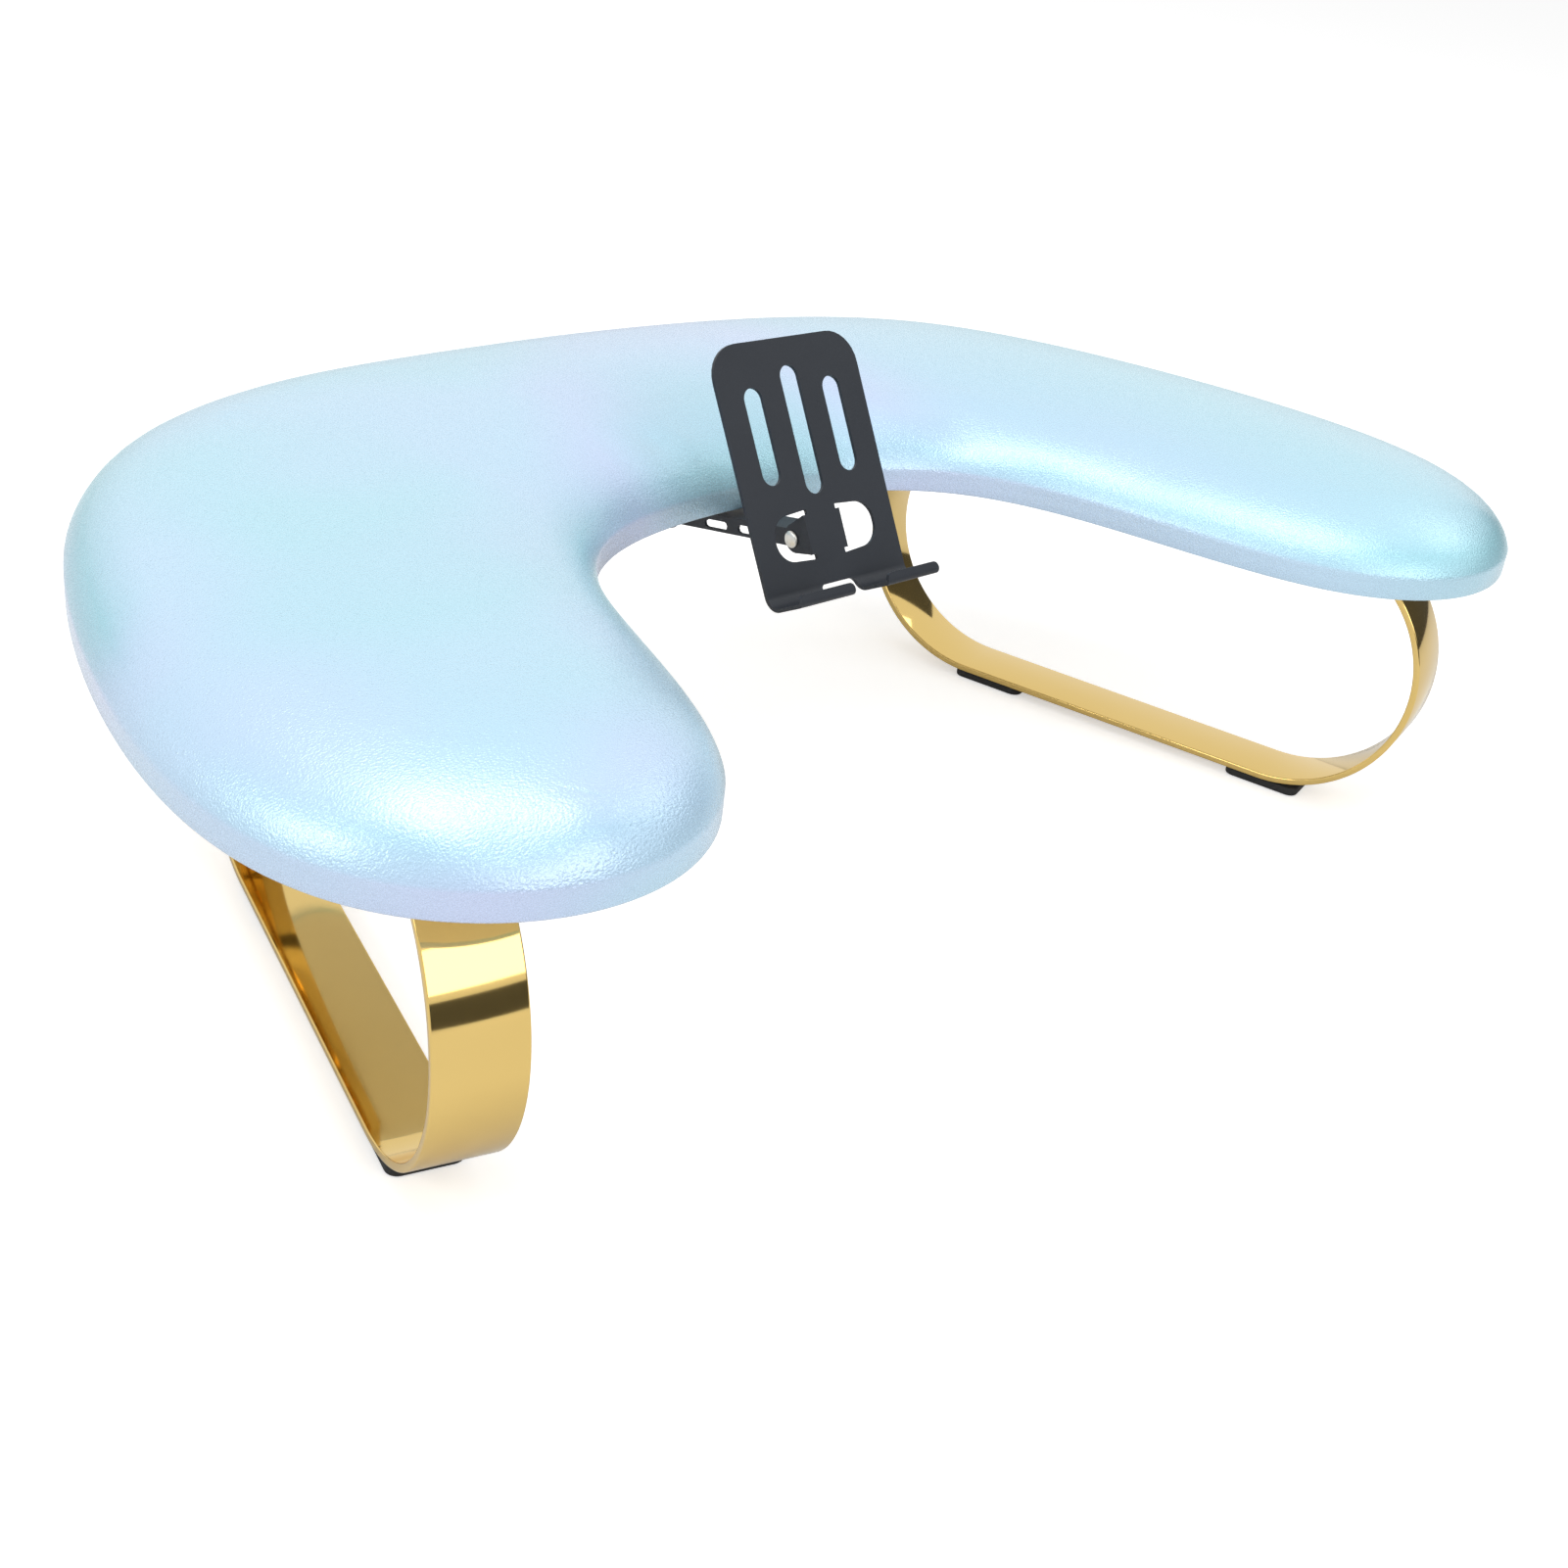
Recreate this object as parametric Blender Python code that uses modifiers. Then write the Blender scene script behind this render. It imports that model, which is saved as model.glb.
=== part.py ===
# Manicure hand rest: a padded arm rest on two flat-bar loops, with a tilting phone holder in its bay.
# Metres, +Z up. The origin is on the floor below the pad's middle, +X along its width, -Y towards its bay.
import math

import bmesh
import bpy
from mathutils import Matrix, Vector
from mathutils.geometry import delaunay_2d_cdt, intersect_point_line

# Clearances
SEAT_GAP = 0.0003        # between pieces that rest on each other
HOLE_GAP = 0.0003        # round a screw or rivet in its hole

# Pad
PAD_WIDTH = 0.608
PAD_DEPTH = 0.378
BAND_HEIGHT = 0.0106     # straight side of the cover
DOME_RISE = 0.0264       # crown above the side
DOME_REACH = 0.092       # from the edge in to where the crown is flat
DOME_POWER = 2.08
LEATHER_WALL = 0.001
LEATHER_TURN = 0.014     # leather turned under the board
CORE_GAP = 0.0018        # between leather and what it wraps
BOARD_THICKNESS = 0.008
BACKING_THICKNESS = 0.0008
BACKING_MARGIN = 0.006   # from the pad's edge in to the backing sheet's edge

# Half of the pad's plan as control points of a cubic spline, in half widths and half depths
PAD_PLAN = (
    (0.273, 1.007),
    (0.712, 0.832),
    (0.925, 0.209),
    (1.030, -0.496),
    (0.950, -0.892),
    (0.731, -1.058),
    (0.499, -0.867),
    (0.418, -0.192),
    (0.244, 0.127),
)
SPLINE_STEPS = 5
EDGE_RINGS = (0.0016, 0.0036, 0.0075, 0.0145)  # insets that follow the pad's edge
DOME_GRID = 0.020

# Leg loops
FLOOR_TO_PAD = 0.129
BAR_THICKNESS = 0.003
BAR_WIDTH = 0.030
BAR_EDGE = 0.0004
LOOP_LENGTH = 0.281
LEG_SIDE_INSET = 0.088   # from the pad's side to the loop's middle
LEG_FRONT_INSET = 0.0255  # from the pad's front to the loop's end
LEG_TOE_OUT = math.radians(15.3)
ARC_STEPS = 14

# Feet
FOOT_THICKNESS = 0.004
FOOT_LENGTH = 0.036
FOOT_WIDTH = 0.031
FRONT_FOOT_OVERHANG = 0.020    # past the front end of the loop's straight
REAR_FOOT_OVERHANG = 0.006     # past its rear end
FOOT_CORNER = 0.003
FOOT_EDGE = 0.0003

# Leg screws and tee nuts
LEG_SCREW_RADIUS = 0.0029
LEG_SCREW_HEAD_RADIUS = 0.0055
LEG_SCREW_HEAD = 0.0028
HEAD_RIM = 0.4           # straight share of a screw head's height
HEAD_FLAT = 0.72         # flat share of its radius
LEG_SCREW_SPACING = 0.110
LEG_SCREW_TIP_GAP = 0.0010
TEE_FLANGE_RADIUS = 0.0090
TEE_FLANGE = 0.0013
TEE_BARREL_RADIUS = 0.0042
TEE_BARREL = 0.0055

# Holder bracket and its screws
SHEET = 0.0015
BRACKET_SETBACK = 0.0365  # arm pivot behind the bay's edge
PIVOT_DROP = 0.0132      # arm pivot below the pad
BRACKET_BASE_X = 0.046
BRACKET_BASE_Y = 0.024
BRACKET_BASE_CORNER = 0.004
BRACKET_EAR_TOP = 0.016  # length of an ear at its root
BRACKET_EAR_END = 0.0052
BRACKET_SCREW_SPACING = 0.034
BRACKET_SCREW_RADIUS = 0.0018
BRACKET_SCREW_HEAD_RADIUS = 0.0035
BRACKET_SCREW_HEAD = 0.0020
BRACKET_SCREW_LENGTH = 0.0085
BRACKET_SCREW_POINT = 0.0015

# Holder arm
ARM_LENGTH = 0.0768      # between its pivots
ARM_ANGLE = math.radians(13.0)
ARM_WIDTH = 0.0154
ARM_HEIGHT = 0.0070
ARM_WALL = 0.0012
ARM_CORNER = 0.0005
ARM_WINDOW_HEIGHT = 0.0034
ARM_WINDOW_LENGTH = 0.0140
ARM_WINDOWS_FROM_FRONT = (0.0275, 0.0480)

# Rivets
RIVET_RADIUS = 0.0015
RIVET_HEAD_RADIUS = 0.0034
RIVET_HEAD = 0.0014

# Phone plate, measured along its width and up its face
PLATE_WIDTH = 0.0742
PLATE_HEIGHT = 0.1023    # above the underside of the hooks
PLATE_TILT = math.radians(29.8)
PLATE_CORNER = 0.0135
PIVOT_HEIGHT_ON_PLATE = 0.0261
PIVOT_BEHIND_PLATE = 0.0099
SLOT_WIDTH = 0.0092
SLOT_SPACING = 0.0204
MIDDLE_SLOT = (0.0410, 0.0915)  # lowest and highest point
SIDE_SLOT = (0.0472, 0.0850)
EAR_REACH = 0.0142       # behind the plate's face
EAR_ROOT_HALF = 0.0078
EAR_END_HALF = 0.0047
D_HALF_HEIGHT = 0.0101
D_WIDTH = 0.0168
D_RELIEF = 0.0020
HOOK_REACH = 0.0190
HOOK_BEND = 0.0052
LIP_BEND = 0.0022
LIP_HEIGHT = 0.0048
LIP_CORNER = 0.0026
TRIM = 0.0002            # left on the folded sheet until its outline is cut
HOOK_GAP = 0.0180        # between the two hooks
HOOK_GAP_HEIGHT = 0.0061
HOOK_GAP_CORNER = 0.0022

# Worked out from the sizes above
ear_inner = ARM_WIDTH / 2 + SEAT_GAP
pad_bottom = FLOOR_TO_PAD
seam_height = pad_bottom + BAND_HEIGHT
backing_top = pad_bottom + BACKING_THICKNESS
hem_bottom = backing_top + SEAT_GAP
board_bottom = hem_bottom + LEATHER_WALL + SEAT_GAP
board_top = board_bottom + BOARD_THICKNESS
loop_bottom = FOOT_THICKNESS + SEAT_GAP
loop_top = pad_bottom - SEAT_GAP
loop_radius = (loop_top - loop_bottom) / 2
loop_straight = LOOP_LENGTH - 2 * loop_radius
FAR = 0.2                # longer than any cut


def clear_scene():
    for thing in list(bpy.data.objects):
        bpy.data.objects.remove(thing, do_unlink=True)


def make_collection(name):
    group = bpy.data.collections.new(name)
    bpy.context.scene.collection.children.link(group)
    return group


clear_scene()
PARTS = make_collection("manicure_hand_rest")
CUTTERS = make_collection("cutters")
CUTTERS.hide_render = True


def finish(name, color, roughness, metallic=0.0):
    material = bpy.data.materials.new(name)
    material.use_nodes = True
    shader = material.node_tree.nodes["Principled BSDF"]
    shader.inputs["Base Color"].default_value = (*color, 1.0)
    shader.inputs["Roughness"].default_value = roughness
    shader.inputs["Metallic"].default_value = metallic
    return material


LEATHER = finish("pearl_leathercloth", (0.56, 0.76, 0.90), 0.38)
FOAM = finish("cushion_foam", (0.86, 0.83, 0.70), 0.95)
PLYWOOD = finish("plywood", (0.62, 0.45, 0.27), 0.70)
CLOTH = finish("backing_cloth", (0.03, 0.03, 0.035), 0.95)
GOLD = finish("gold_plate", (0.92, 0.66, 0.28), 0.12, 1.0)
RUBBER = finish("foot_rubber", (0.02, 0.02, 0.02), 0.85)
ZINC = finish("zinc_plate", (0.62, 0.62, 0.60), 0.35, 1.0)
BLACK = finish("black_powder_coat", (0.052, 0.055, 0.060), 0.50)
RIVET = finish("rivet_nickel", (0.80, 0.79, 0.74), 0.30, 1.0)


def place(thing, group, material=None):
    group.objects.link(thing)
    if material:
        thing.data.materials.append(material)
    else:
        thing.hide_render = True
        thing.display_type = "WIRE"
    return thing


def mesh_object(name, bm, material, smooth=None):
    mesh = bpy.data.meshes.new(name)
    bmesh.ops.recalc_face_normals(bm, faces=bm.faces)
    bm.to_mesh(mesh)
    bm.free()
    thing = place(bpy.data.objects.new(name, mesh), PARTS, material)
    if smooth is not None:
        mesh.shade_smooth()
        mesh.set_sharp_from_angle(angle=smooth)
    return thing


def extruded(name, loops, thickness, matrix, material=None, smooth=None):
    """A flat outline, with holes, as a closed plate centred on its own XY plane."""
    data = bpy.data.curves.new(name, "CURVE")
    data.dimensions = "2D"
    data.fill_mode = "BOTH"
    data.extrude = thickness / 2
    for loop in loops:
        spline = data.splines.new("POLY")
        spline.points.add(len(loop) - 1)
        for point, (x, y) in zip(spline.points, loop):
            point.co = (x, y, 0.0, 1.0)
        spline.use_cyclic_u = True
    curve = bpy.data.objects.new(name + "_outline", data)
    bpy.context.scene.collection.objects.link(curve)
    bpy.context.view_layer.update()
    mesh = bpy.data.meshes.new_from_object(curve.evaluated_get(bpy.context.evaluated_depsgraph_get()))
    bpy.data.objects.remove(curve, do_unlink=True)
    bpy.data.curves.remove(data)
    bm = bmesh.new()
    bm.from_mesh(mesh)
    bmesh.ops.remove_doubles(bm, verts=bm.verts, dist=0.00001)
    bmesh.ops.recalc_face_normals(bm, faces=bm.faces)
    bm.to_mesh(mesh)
    bm.free()
    mesh.name = name
    thing = place(bpy.data.objects.new(name, mesh), PARTS if material else CUTTERS, material)
    thing.matrix_world = matrix
    if smooth is not None:
        mesh.shade_smooth()
        mesh.set_sharp_from_angle(angle=smooth)
    return thing


def cylinder(name, radius, length, centre, axis="Z", material=None, steps=20):
    bm = bmesh.new()
    bmesh.ops.create_cone(bm, cap_ends=True, segments=steps, radius1=radius, radius2=radius, depth=length)
    turn = {"X": Matrix.Rotation(math.pi / 2, 4, "Y"), "Z": Matrix.Identity(4)}[axis]
    bm.transform(turn)
    mesh = bpy.data.meshes.new(name)
    bm.to_mesh(mesh)
    bm.free()
    thing = place(bpy.data.objects.new(name, mesh), PARTS if material else CUTTERS, material)
    thing.location = centre
    return thing


def boolean(thing, other, operation="DIFFERENCE"):
    cut = thing.modifiers.new(other.name, "BOOLEAN")
    cut.operation = operation
    cut.solver = "EXACT"
    cut.object = other


def soften(thing, width, angle=math.radians(40)):
    bevel = thing.modifiers.new("edges", "BEVEL")
    bevel.width = width
    bevel.segments = 1
    bevel.limit_method = "ANGLE"
    bevel.angle_limit = angle


def arc(centre, radius, start, end, steps):
    """Points of an arc from one angle to another, in degrees."""
    points = []
    for i in range(steps + 1):
        angle = math.radians(start + (end - start) * i / steps)
        points.append((centre[0] + radius * math.cos(angle), centre[1] + radius * math.sin(angle)))
    return points


def rounded(corners, steps=5):
    """A closed outline from corners (x, y, radius), with each corner as an arc."""
    points = []
    for i, (x, y, radius) in enumerate(corners):
        here = Vector((x, y))
        before = (Vector(corners[i - 1][:2]) - here).normalized()
        after = (Vector(corners[(i + 1) % len(corners)][:2]) - here).normalized()
        if radius == 0:
            points.append((x, y))
            continue
        half = before.angle(after) / 2
        centre = here + (before + after).normalized() * radius / math.sin(half)
        first = here + before * radius / math.tan(half) - centre
        last = here + after * radius / math.tan(half) - centre
        sweep = first.angle_signed(last)
        for k in range(steps + 1):
            spoke = first.copy()
            spoke.rotate(Matrix.Rotation(-sweep * k / steps, 2))
            points.append(tuple(centre + spoke))
    return points


def rectangle(width, height, radius, centre=(0.0, 0.0), steps=5):
    x, y = centre
    a, b = width / 2, height / 2
    corners = ((x - a, y - b), (x + a, y - b), (x + a, y + b), (x - a, y + b))
    return rounded([(*corner, radius) for corner in corners], steps)


def stadium(straight, radius, steps, centre=(0.0, 0.0)):
    """A level slot outline: two straights joined by half circles."""
    x, y = centre
    right = arc((x + straight / 2, y), radius, -90, 90, steps)
    left = arc((x - straight / 2, y), radius, 90, 270, steps)
    return right + left


def pad_outline(inset=0.0):
    """The pad's plan as points, moved in by the inset."""
    half = [Vector((x * PAD_WIDTH / 2, y * PAD_DEPTH / 2)) for x, y in PAD_PLAN]
    control = half + [Vector((-p.x, p.y)) for p in reversed(half)]
    count = len(control)
    points = []
    for i in range(count):
        p = [control[(i + k - 1) % count] for k in range(4)]
        for k in range(SPLINE_STEPS):
            t = k / SPLINE_STEPS
            spot = (
                p[0] * (1 - t) ** 3
                + p[1] * (3 * t ** 3 - 6 * t ** 2 + 4)
                + p[2] * (-3 * t ** 3 + 3 * t ** 2 + 3 * t + 1)
                + p[3] * t ** 3
            ) / 6
            slope = (
                p[0] * -((1 - t) ** 2)
                + p[1] * (3 * t ** 2 - 4 * t)
                + p[2] * (-3 * t ** 2 + 2 * t + 1)
                + p[3] * t ** 2
            )
            inward = Vector((slope.y, -slope.x)).normalized()
            points.append(tuple(spot + inward * inset))
    return points


def bay_back():
    """Y of the pad's edge at the middle of the bay."""
    return min((p for p in pad_outline() if p[1] > -PAD_DEPTH / 4), key=lambda p: abs(p[0]) + abs(p[1]))[1]


def edge_distance(x, y, outline):
    spot = Vector((x, y, 0.0))
    best = FAR
    for a, b in zip(outline, outline[1:] + outline[:1]):
        start, end = Vector((*a, 0.0)), Vector((*b, 0.0))
        foot, share = intersect_point_line(spot, start, end)
        foot = start.lerp(end, min(1.0, max(0.0, share)))
        best = min(best, (spot - foot).length)
    return best


def inside(x, y, outline):
    """Whether a point is inside an outline, by the edges that it has on its right."""
    crossings = 0
    for (ax, ay), (bx, by) in zip(outline, outline[1:] + outline[:1]):
        if (ay > y) != (by > y) and x < ax + (bx - ax) * (y - ay) / (by - ay):
            crossings += 1
    return crossings % 2 == 1


def crown(distance, reach, rise):
    share = min(1.0, distance / reach)
    return rise * (1 - (1 - share) ** DOME_POWER) ** (1 / DOME_POWER)


def crowned_sheet(inset, base, reach, rise):
    """An open domed surface inside the pad's outline, with its edge level at the base."""
    rings = [pad_outline(inset + ring) for ring in (0.0, *EDGE_RINGS)]
    outline = rings[0]
    count = len(outline)
    points = [Vector(point) for ring in rings for point in ring]
    edges = [(k * count + i, k * count + (i + 1) % count) for k in range(len(rings)) for i in range(count)]
    clear = EDGE_RINGS[-1] + DOME_GRID / 2
    columns, rows = int(PAD_WIDTH / 2 / DOME_GRID), int(PAD_DEPTH / 2 / DOME_GRID)
    for i in range(-columns, columns + 1):
        for j in range(-rows, rows + 1):
            x, y = i * DOME_GRID, j * DOME_GRID
            if inside(x, y, outline) and edge_distance(x, y, outline) > clear:
                points.append(Vector((x, y)))
    flat, _, faces, *_ = delaunay_2d_cdt(points, edges, [], 1, 0.00001)
    bm = bmesh.new()
    verts = [bm.verts.new((x, y, base + crown(edge_distance(x, y, outline), reach, rise))) for x, y in flat]
    for face in faces:
        bm.faces.new([verts[i] for i in face])
    middle = verts[len(rings) * count:]
    for _ in range(3):
        bmesh.ops.smooth_vert(bm, verts=middle, factor=0.5, use_axis_z=True)
    return bm


def rim_of(bm):
    return [e for e in bm.edges if e.is_boundary]


def drop_rim(bm, drop):
    """Extrudes the open rim straight down."""
    new = bmesh.ops.extrude_edge_only(bm, edges=rim_of(bm))["geom"]
    bmesh.ops.translate(bm, vec=(0, 0, -drop), verts=[g for g in new if isinstance(g, bmesh.types.BMVert)])


def turn_rim_in(bm, width):
    """Extrudes the open rim level, in along the pad's outline."""
    outer = pad_outline()
    inner = pad_outline(width)
    new = bmesh.ops.extrude_edge_only(bm, edges=rim_of(bm))["geom"]
    for vert in (g for g in new if isinstance(g, bmesh.types.BMVert)):
        nearest = min(range(len(outer)), key=lambda i: (vert.co.xy - Vector(outer[i])).length)
        vert.co.xy = inner[nearest]


def make_leather_cover():
    bm = crowned_sheet(0.0, seam_height, DOME_REACH, DOME_RISE)
    drop_rim(bm, seam_height - hem_bottom)
    turn_rim_in(bm, LEATHER_TURN)
    cover = mesh_object("leather_cover", bm, LEATHER, math.radians(50))
    wall = cover.modifiers.new("wall", "SOLIDIFY")
    wall.thickness = LEATHER_WALL
    wall.offset = -1
    wall.use_even_offset = True
    wall.thickness_clamp = 1.0
    return cover


def make_foam_core():
    inset = LEATHER_WALL + CORE_GAP
    base = board_top + SEAT_GAP
    rise = seam_height + DOME_RISE - inset - base
    bm = crowned_sheet(inset, base, DOME_REACH - inset, rise)
    for face in bmesh.ops.contextual_create(bm, geom=rim_of(bm))["faces"]:
        face.smooth = False
    return mesh_object("foam_core", bm, FOAM, math.radians(50))


def at(x=0.0, y=0.0, z=0.0):
    return Matrix.Translation((x, y, z))


def leg_spots(side):
    """The loop's middle and its forward direction in plan, and its two screw places."""
    forward = Vector((side * math.sin(LEG_TOE_OUT), -math.cos(LEG_TOE_OUT)))
    front = PAD_DEPTH / 2 - LEG_FRONT_INSET
    half_length = LOOP_LENGTH / 2 * math.cos(LEG_TOE_OUT)
    middle = Vector((side * (PAD_WIDTH / 2 - LEG_SIDE_INSET), half_length - front))
    reach = forward * LEG_SCREW_SPACING / 2
    return middle, forward, {"front": middle + reach, "rear": middle - reach}


SIDES = {"left": -1, "right": 1}
LEG_SCREWS = {f"{side}_{end}": spot for side in SIDES for end, spot in leg_spots(SIDES[side])[2].items()}


def bracket_screw_spots():
    y = bay_back() + BRACKET_SETBACK
    return {"left": (-BRACKET_SCREW_SPACING / 2, y), "right": (BRACKET_SCREW_SPACING / 2, y)}


def make_base_board():
    board = extruded("base_board", [pad_outline(LEATHER_WALL + CORE_GAP)], BOARD_THICKNESS,
                     at(z=(board_bottom + board_top) / 2), PLYWOOD)
    for name, spot in LEG_SCREWS.items():
        bore = cylinder(f"board_bore_{name}", TEE_BARREL_RADIUS + HOLE_GAP, FAR, (*spot, board_bottom))
        recess_depth = TEE_FLANGE + SEAT_GAP
        recess_radius = TEE_FLANGE_RADIUS + HOLE_GAP
        recess = cylinder(f"board_recess_{name}", recess_radius, 2 * recess_depth, (*spot, board_top))
        boolean(board, bore)
        boolean(board, recess)
    for name, spot in bracket_screw_spots().items():
        pilot = BRACKET_SCREW_RADIUS + HOLE_GAP
        boolean(board, cylinder(f"board_pilot_{name}", pilot, FAR, (*spot, board_bottom), steps=12))
    return board


def make_backing_sheet():
    sheet = extruded("backing_sheet", [pad_outline(BACKING_MARGIN)], BACKING_THICKNESS,
                     at(z=(pad_bottom + backing_top) / 2), CLOTH)
    for name, spot in LEG_SCREWS.items():
        radius = LEG_SCREW_RADIUS + HOLE_GAP
        boolean(sheet, cylinder(f"backing_hole_{name}", radius, FAR, (*spot, pad_bottom)))
    for name, spot in bracket_screw_spots().items():
        radius = BRACKET_SCREW_RADIUS + HOLE_GAP
        boolean(sheet, cylinder(f"backing_pilot_{name}", radius, FAR, (*spot, pad_bottom), steps=12))
    return sheet


def make_leg_loop(side_name):
    side = SIDES[side_name]
    middle, forward, screws = leg_spots(side)
    outer = stadium(loop_straight, loop_radius, ARC_STEPS)
    inner = stadium(loop_straight, loop_radius - BAR_THICKNESS, ARC_STEPS)
    across = Vector((-forward.y, forward.x))
    frame = Matrix((
        (forward.x, 0, -across.x, middle.x),
        (forward.y, 0, -across.y, middle.y),
        (0, 1, 0, (loop_bottom + loop_top) / 2),
        (0, 0, 0, 1),
    ))
    loop = extruded(f"leg_loop_{side_name}", [outer, inner], BAR_WIDTH, frame, GOLD, math.radians(35))
    soften(loop, BAR_EDGE)
    hole_radius = LEG_SCREW_RADIUS + HOLE_GAP
    for end, spot in screws.items():
        hole = cylinder(f"loop_hole_{side_name}_{end}", hole_radius, 4 * BAR_THICKNESS, (*spot, loop_top))
        boolean(loop, hole)
    for end, sign, overhang in (("front", 1, FRONT_FOOT_OVERHANG), ("rear", -1, REAR_FOOT_OVERHANG)):
        reach = loop_straight / 2 + overhang - FOOT_LENGTH / 2
        spot = middle + forward * reach * sign
        turn = Matrix.Rotation(math.atan2(forward.y, forward.x), 4, "Z")
        plan = rectangle(FOOT_LENGTH, FOOT_WIDTH, FOOT_CORNER, steps=3)
        foot = extruded(f"foot_pad_{side_name}_{end}", [plan], FOOT_THICKNESS,
                        at(spot.x, spot.y, FOOT_THICKNESS / 2) @ turn, RUBBER)
        soften(foot, FOOT_EDGE)


def turned(name, profile, material, matrix, steps=16):
    """A turned piece from a profile (radius, height), listed from the top down its outer side."""
    mesh = bpy.data.meshes.new(name)
    bm = bmesh.new()
    closed = profile[0] == profile[-1]
    verts = [bm.verts.new((radius, 0, height)) for radius, height in (profile[:-1] if closed else profile)]
    following = verts[1:] + verts[:1] if closed else verts[1:]
    for a, b in zip(verts, following):
        bm.edges.new((a, b))
    bm.to_mesh(mesh)
    bm.free()
    thing = place(bpy.data.objects.new(name, mesh), PARTS, material)
    thing.matrix_world = matrix
    screw = thing.modifiers.new("turn", "SCREW")
    screw.steps = steps
    screw.render_steps = steps
    screw.use_merge_vertices = True
    screw.merge_threshold = 0.00001
    screw.use_smooth_shade = False
    return thing


def make_leg_fasteners():
    nut_top = board_top
    nut_low = board_top - TEE_FLANGE - TEE_BARREL
    bore = LEG_SCREW_RADIUS + HOLE_GAP
    head_top = loop_top - BAR_THICKNESS - SEAT_GAP
    for name, spot in LEG_SCREWS.items():
        flange_low = nut_top - TEE_FLANGE
        nut = ((bore, nut_top), (TEE_FLANGE_RADIUS, nut_top), (TEE_FLANGE_RADIUS, flange_low),
               (TEE_BARREL_RADIUS, flange_low), (TEE_BARREL_RADIUS, nut_low), (bore, nut_low),
               (bore, nut_top))
        turned(f"tee_nut_{name}", nut, ZINC, at(*spot))
        tip = nut_top - LEG_SCREW_TIP_GAP
        head_low = head_top - LEG_SCREW_HEAD
        shank, wide = LEG_SCREW_RADIUS, LEG_SCREW_HEAD_RADIUS
        rim_low = head_top - LEG_SCREW_HEAD * HEAD_RIM
        screw = ((0, tip), (shank, tip), (shank, head_top), (wide, head_top), (wide, rim_low),
                 (wide * HEAD_FLAT, head_low), (0, head_low))
        turned(f"leg_screw_{name}", screw, GOLD, at(*spot))


ARM_PIVOT = Vector((0.0, bay_back() + BRACKET_SETBACK, pad_bottom - PIVOT_DROP))
PLATE_PIVOT = ARM_PIVOT + Vector((0.0, -math.cos(ARM_ANGLE), math.sin(ARM_ANGLE))) * ARM_LENGTH


def side_view(origin, angle=0.0):
    """A frame whose XY plane is the holder's side view: X to the front, Y up, turned up by the angle."""
    base = Matrix(((0, 0, -1, 0), (-1, 0, 0, 0), (0, 1, 0, 0), (0, 0, 0, 1)))
    return Matrix.Translation(origin) @ base @ Matrix.Rotation(angle, 4, "Z")


def make_holder_bracket():
    top = pad_bottom - SEAT_GAP
    low = top - SHEET
    spot_y = ARM_PIVOT.y
    base = rectangle(BRACKET_BASE_X, BRACKET_BASE_Y, BRACKET_BASE_CORNER)
    bracket = extruded("holder_bracket", [base], SHEET, at(0, spot_y, (top + low) / 2), BLACK)
    rise = low + SHEET / 2 - ARM_PIVOT.z
    end, corner = BRACKET_EAR_END, BRACKET_EAR_END * 0.9
    root = BRACKET_EAR_TOP / 2
    ear = rounded(((-root, rise, 0), (-end, -end, corner), (end, -end, corner), (root, rise, 0)))
    hole = arc((0, 0), RIVET_RADIUS + HOLE_GAP, 0, 330, 11)
    for name, sign in (("left", -1), ("right", 1)):
        offset = Vector((sign * (ear_inner + SHEET / 2), 0, 0))
        piece = extruded(f"bracket_ear_{name}", [ear, hole], SHEET, side_view(ARM_PIVOT + offset))
        boolean(bracket, piece, "UNION")
    shank = BRACKET_SCREW_RADIUS
    head_top = low - SEAT_GAP
    head_low = head_top - BRACKET_SCREW_HEAD
    tip = head_top + BRACKET_SCREW_LENGTH
    wide = BRACKET_SCREW_HEAD_RADIUS
    screw = ((0, tip), (shank / 2, tip), (shank, tip - BRACKET_SCREW_POINT), (shank, head_top),
             (wide, head_top), (wide * HEAD_FLAT, head_low), (0, head_low))
    for name, spot in bracket_screw_spots().items():
        hole = cylinder(f"bracket_hole_{name}", shank + HOLE_GAP, 4 * SHEET, (*spot, low), steps=12)
        boolean(bracket, hole)
        turned(f"bracket_screw_{name}", screw, ZINC, at(*spot), steps=12)


def make_holder_arm():
    half = ARM_HEIGHT / 2
    frame = side_view(ARM_PIVOT, ARM_ANGLE)
    arm = extruded("holder_arm", [stadium(ARM_LENGTH, half, 6, (ARM_LENGTH / 2, 0))], ARM_WIDTH, frame, BLACK)
    channel_low, channel_high = -ARM_HEIGHT, half - ARM_WALL
    middle = (ARM_LENGTH / 2, (channel_low + channel_high) / 2)
    inside = rectangle(ARM_LENGTH + 2 * ARM_HEIGHT, channel_high - channel_low, ARM_CORNER, middle, 1)
    boolean(arm, extruded("arm_channel", [inside], ARM_WIDTH - 2 * ARM_WALL, frame))
    for i, back in enumerate(ARM_WINDOWS_FROM_FRONT):
        straight = ARM_WINDOW_LENGTH - ARM_WINDOW_HEIGHT
        outline = stadium(straight, ARM_WINDOW_HEIGHT / 2, 4, (ARM_LENGTH - back, -ARM_WALL / 2))
        boolean(arm, extruded(f"arm_window_{i}", [outline], 2 * ARM_WIDTH, frame))
    hole = RIVET_RADIUS + HOLE_GAP
    for name, spot in (("rear", ARM_PIVOT), ("front", PLATE_PIVOT)):
        boolean(arm, cylinder(f"arm_hole_{name}", hole, 2 * ARM_WIDTH, spot, "X", steps=12))
    return arm


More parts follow.
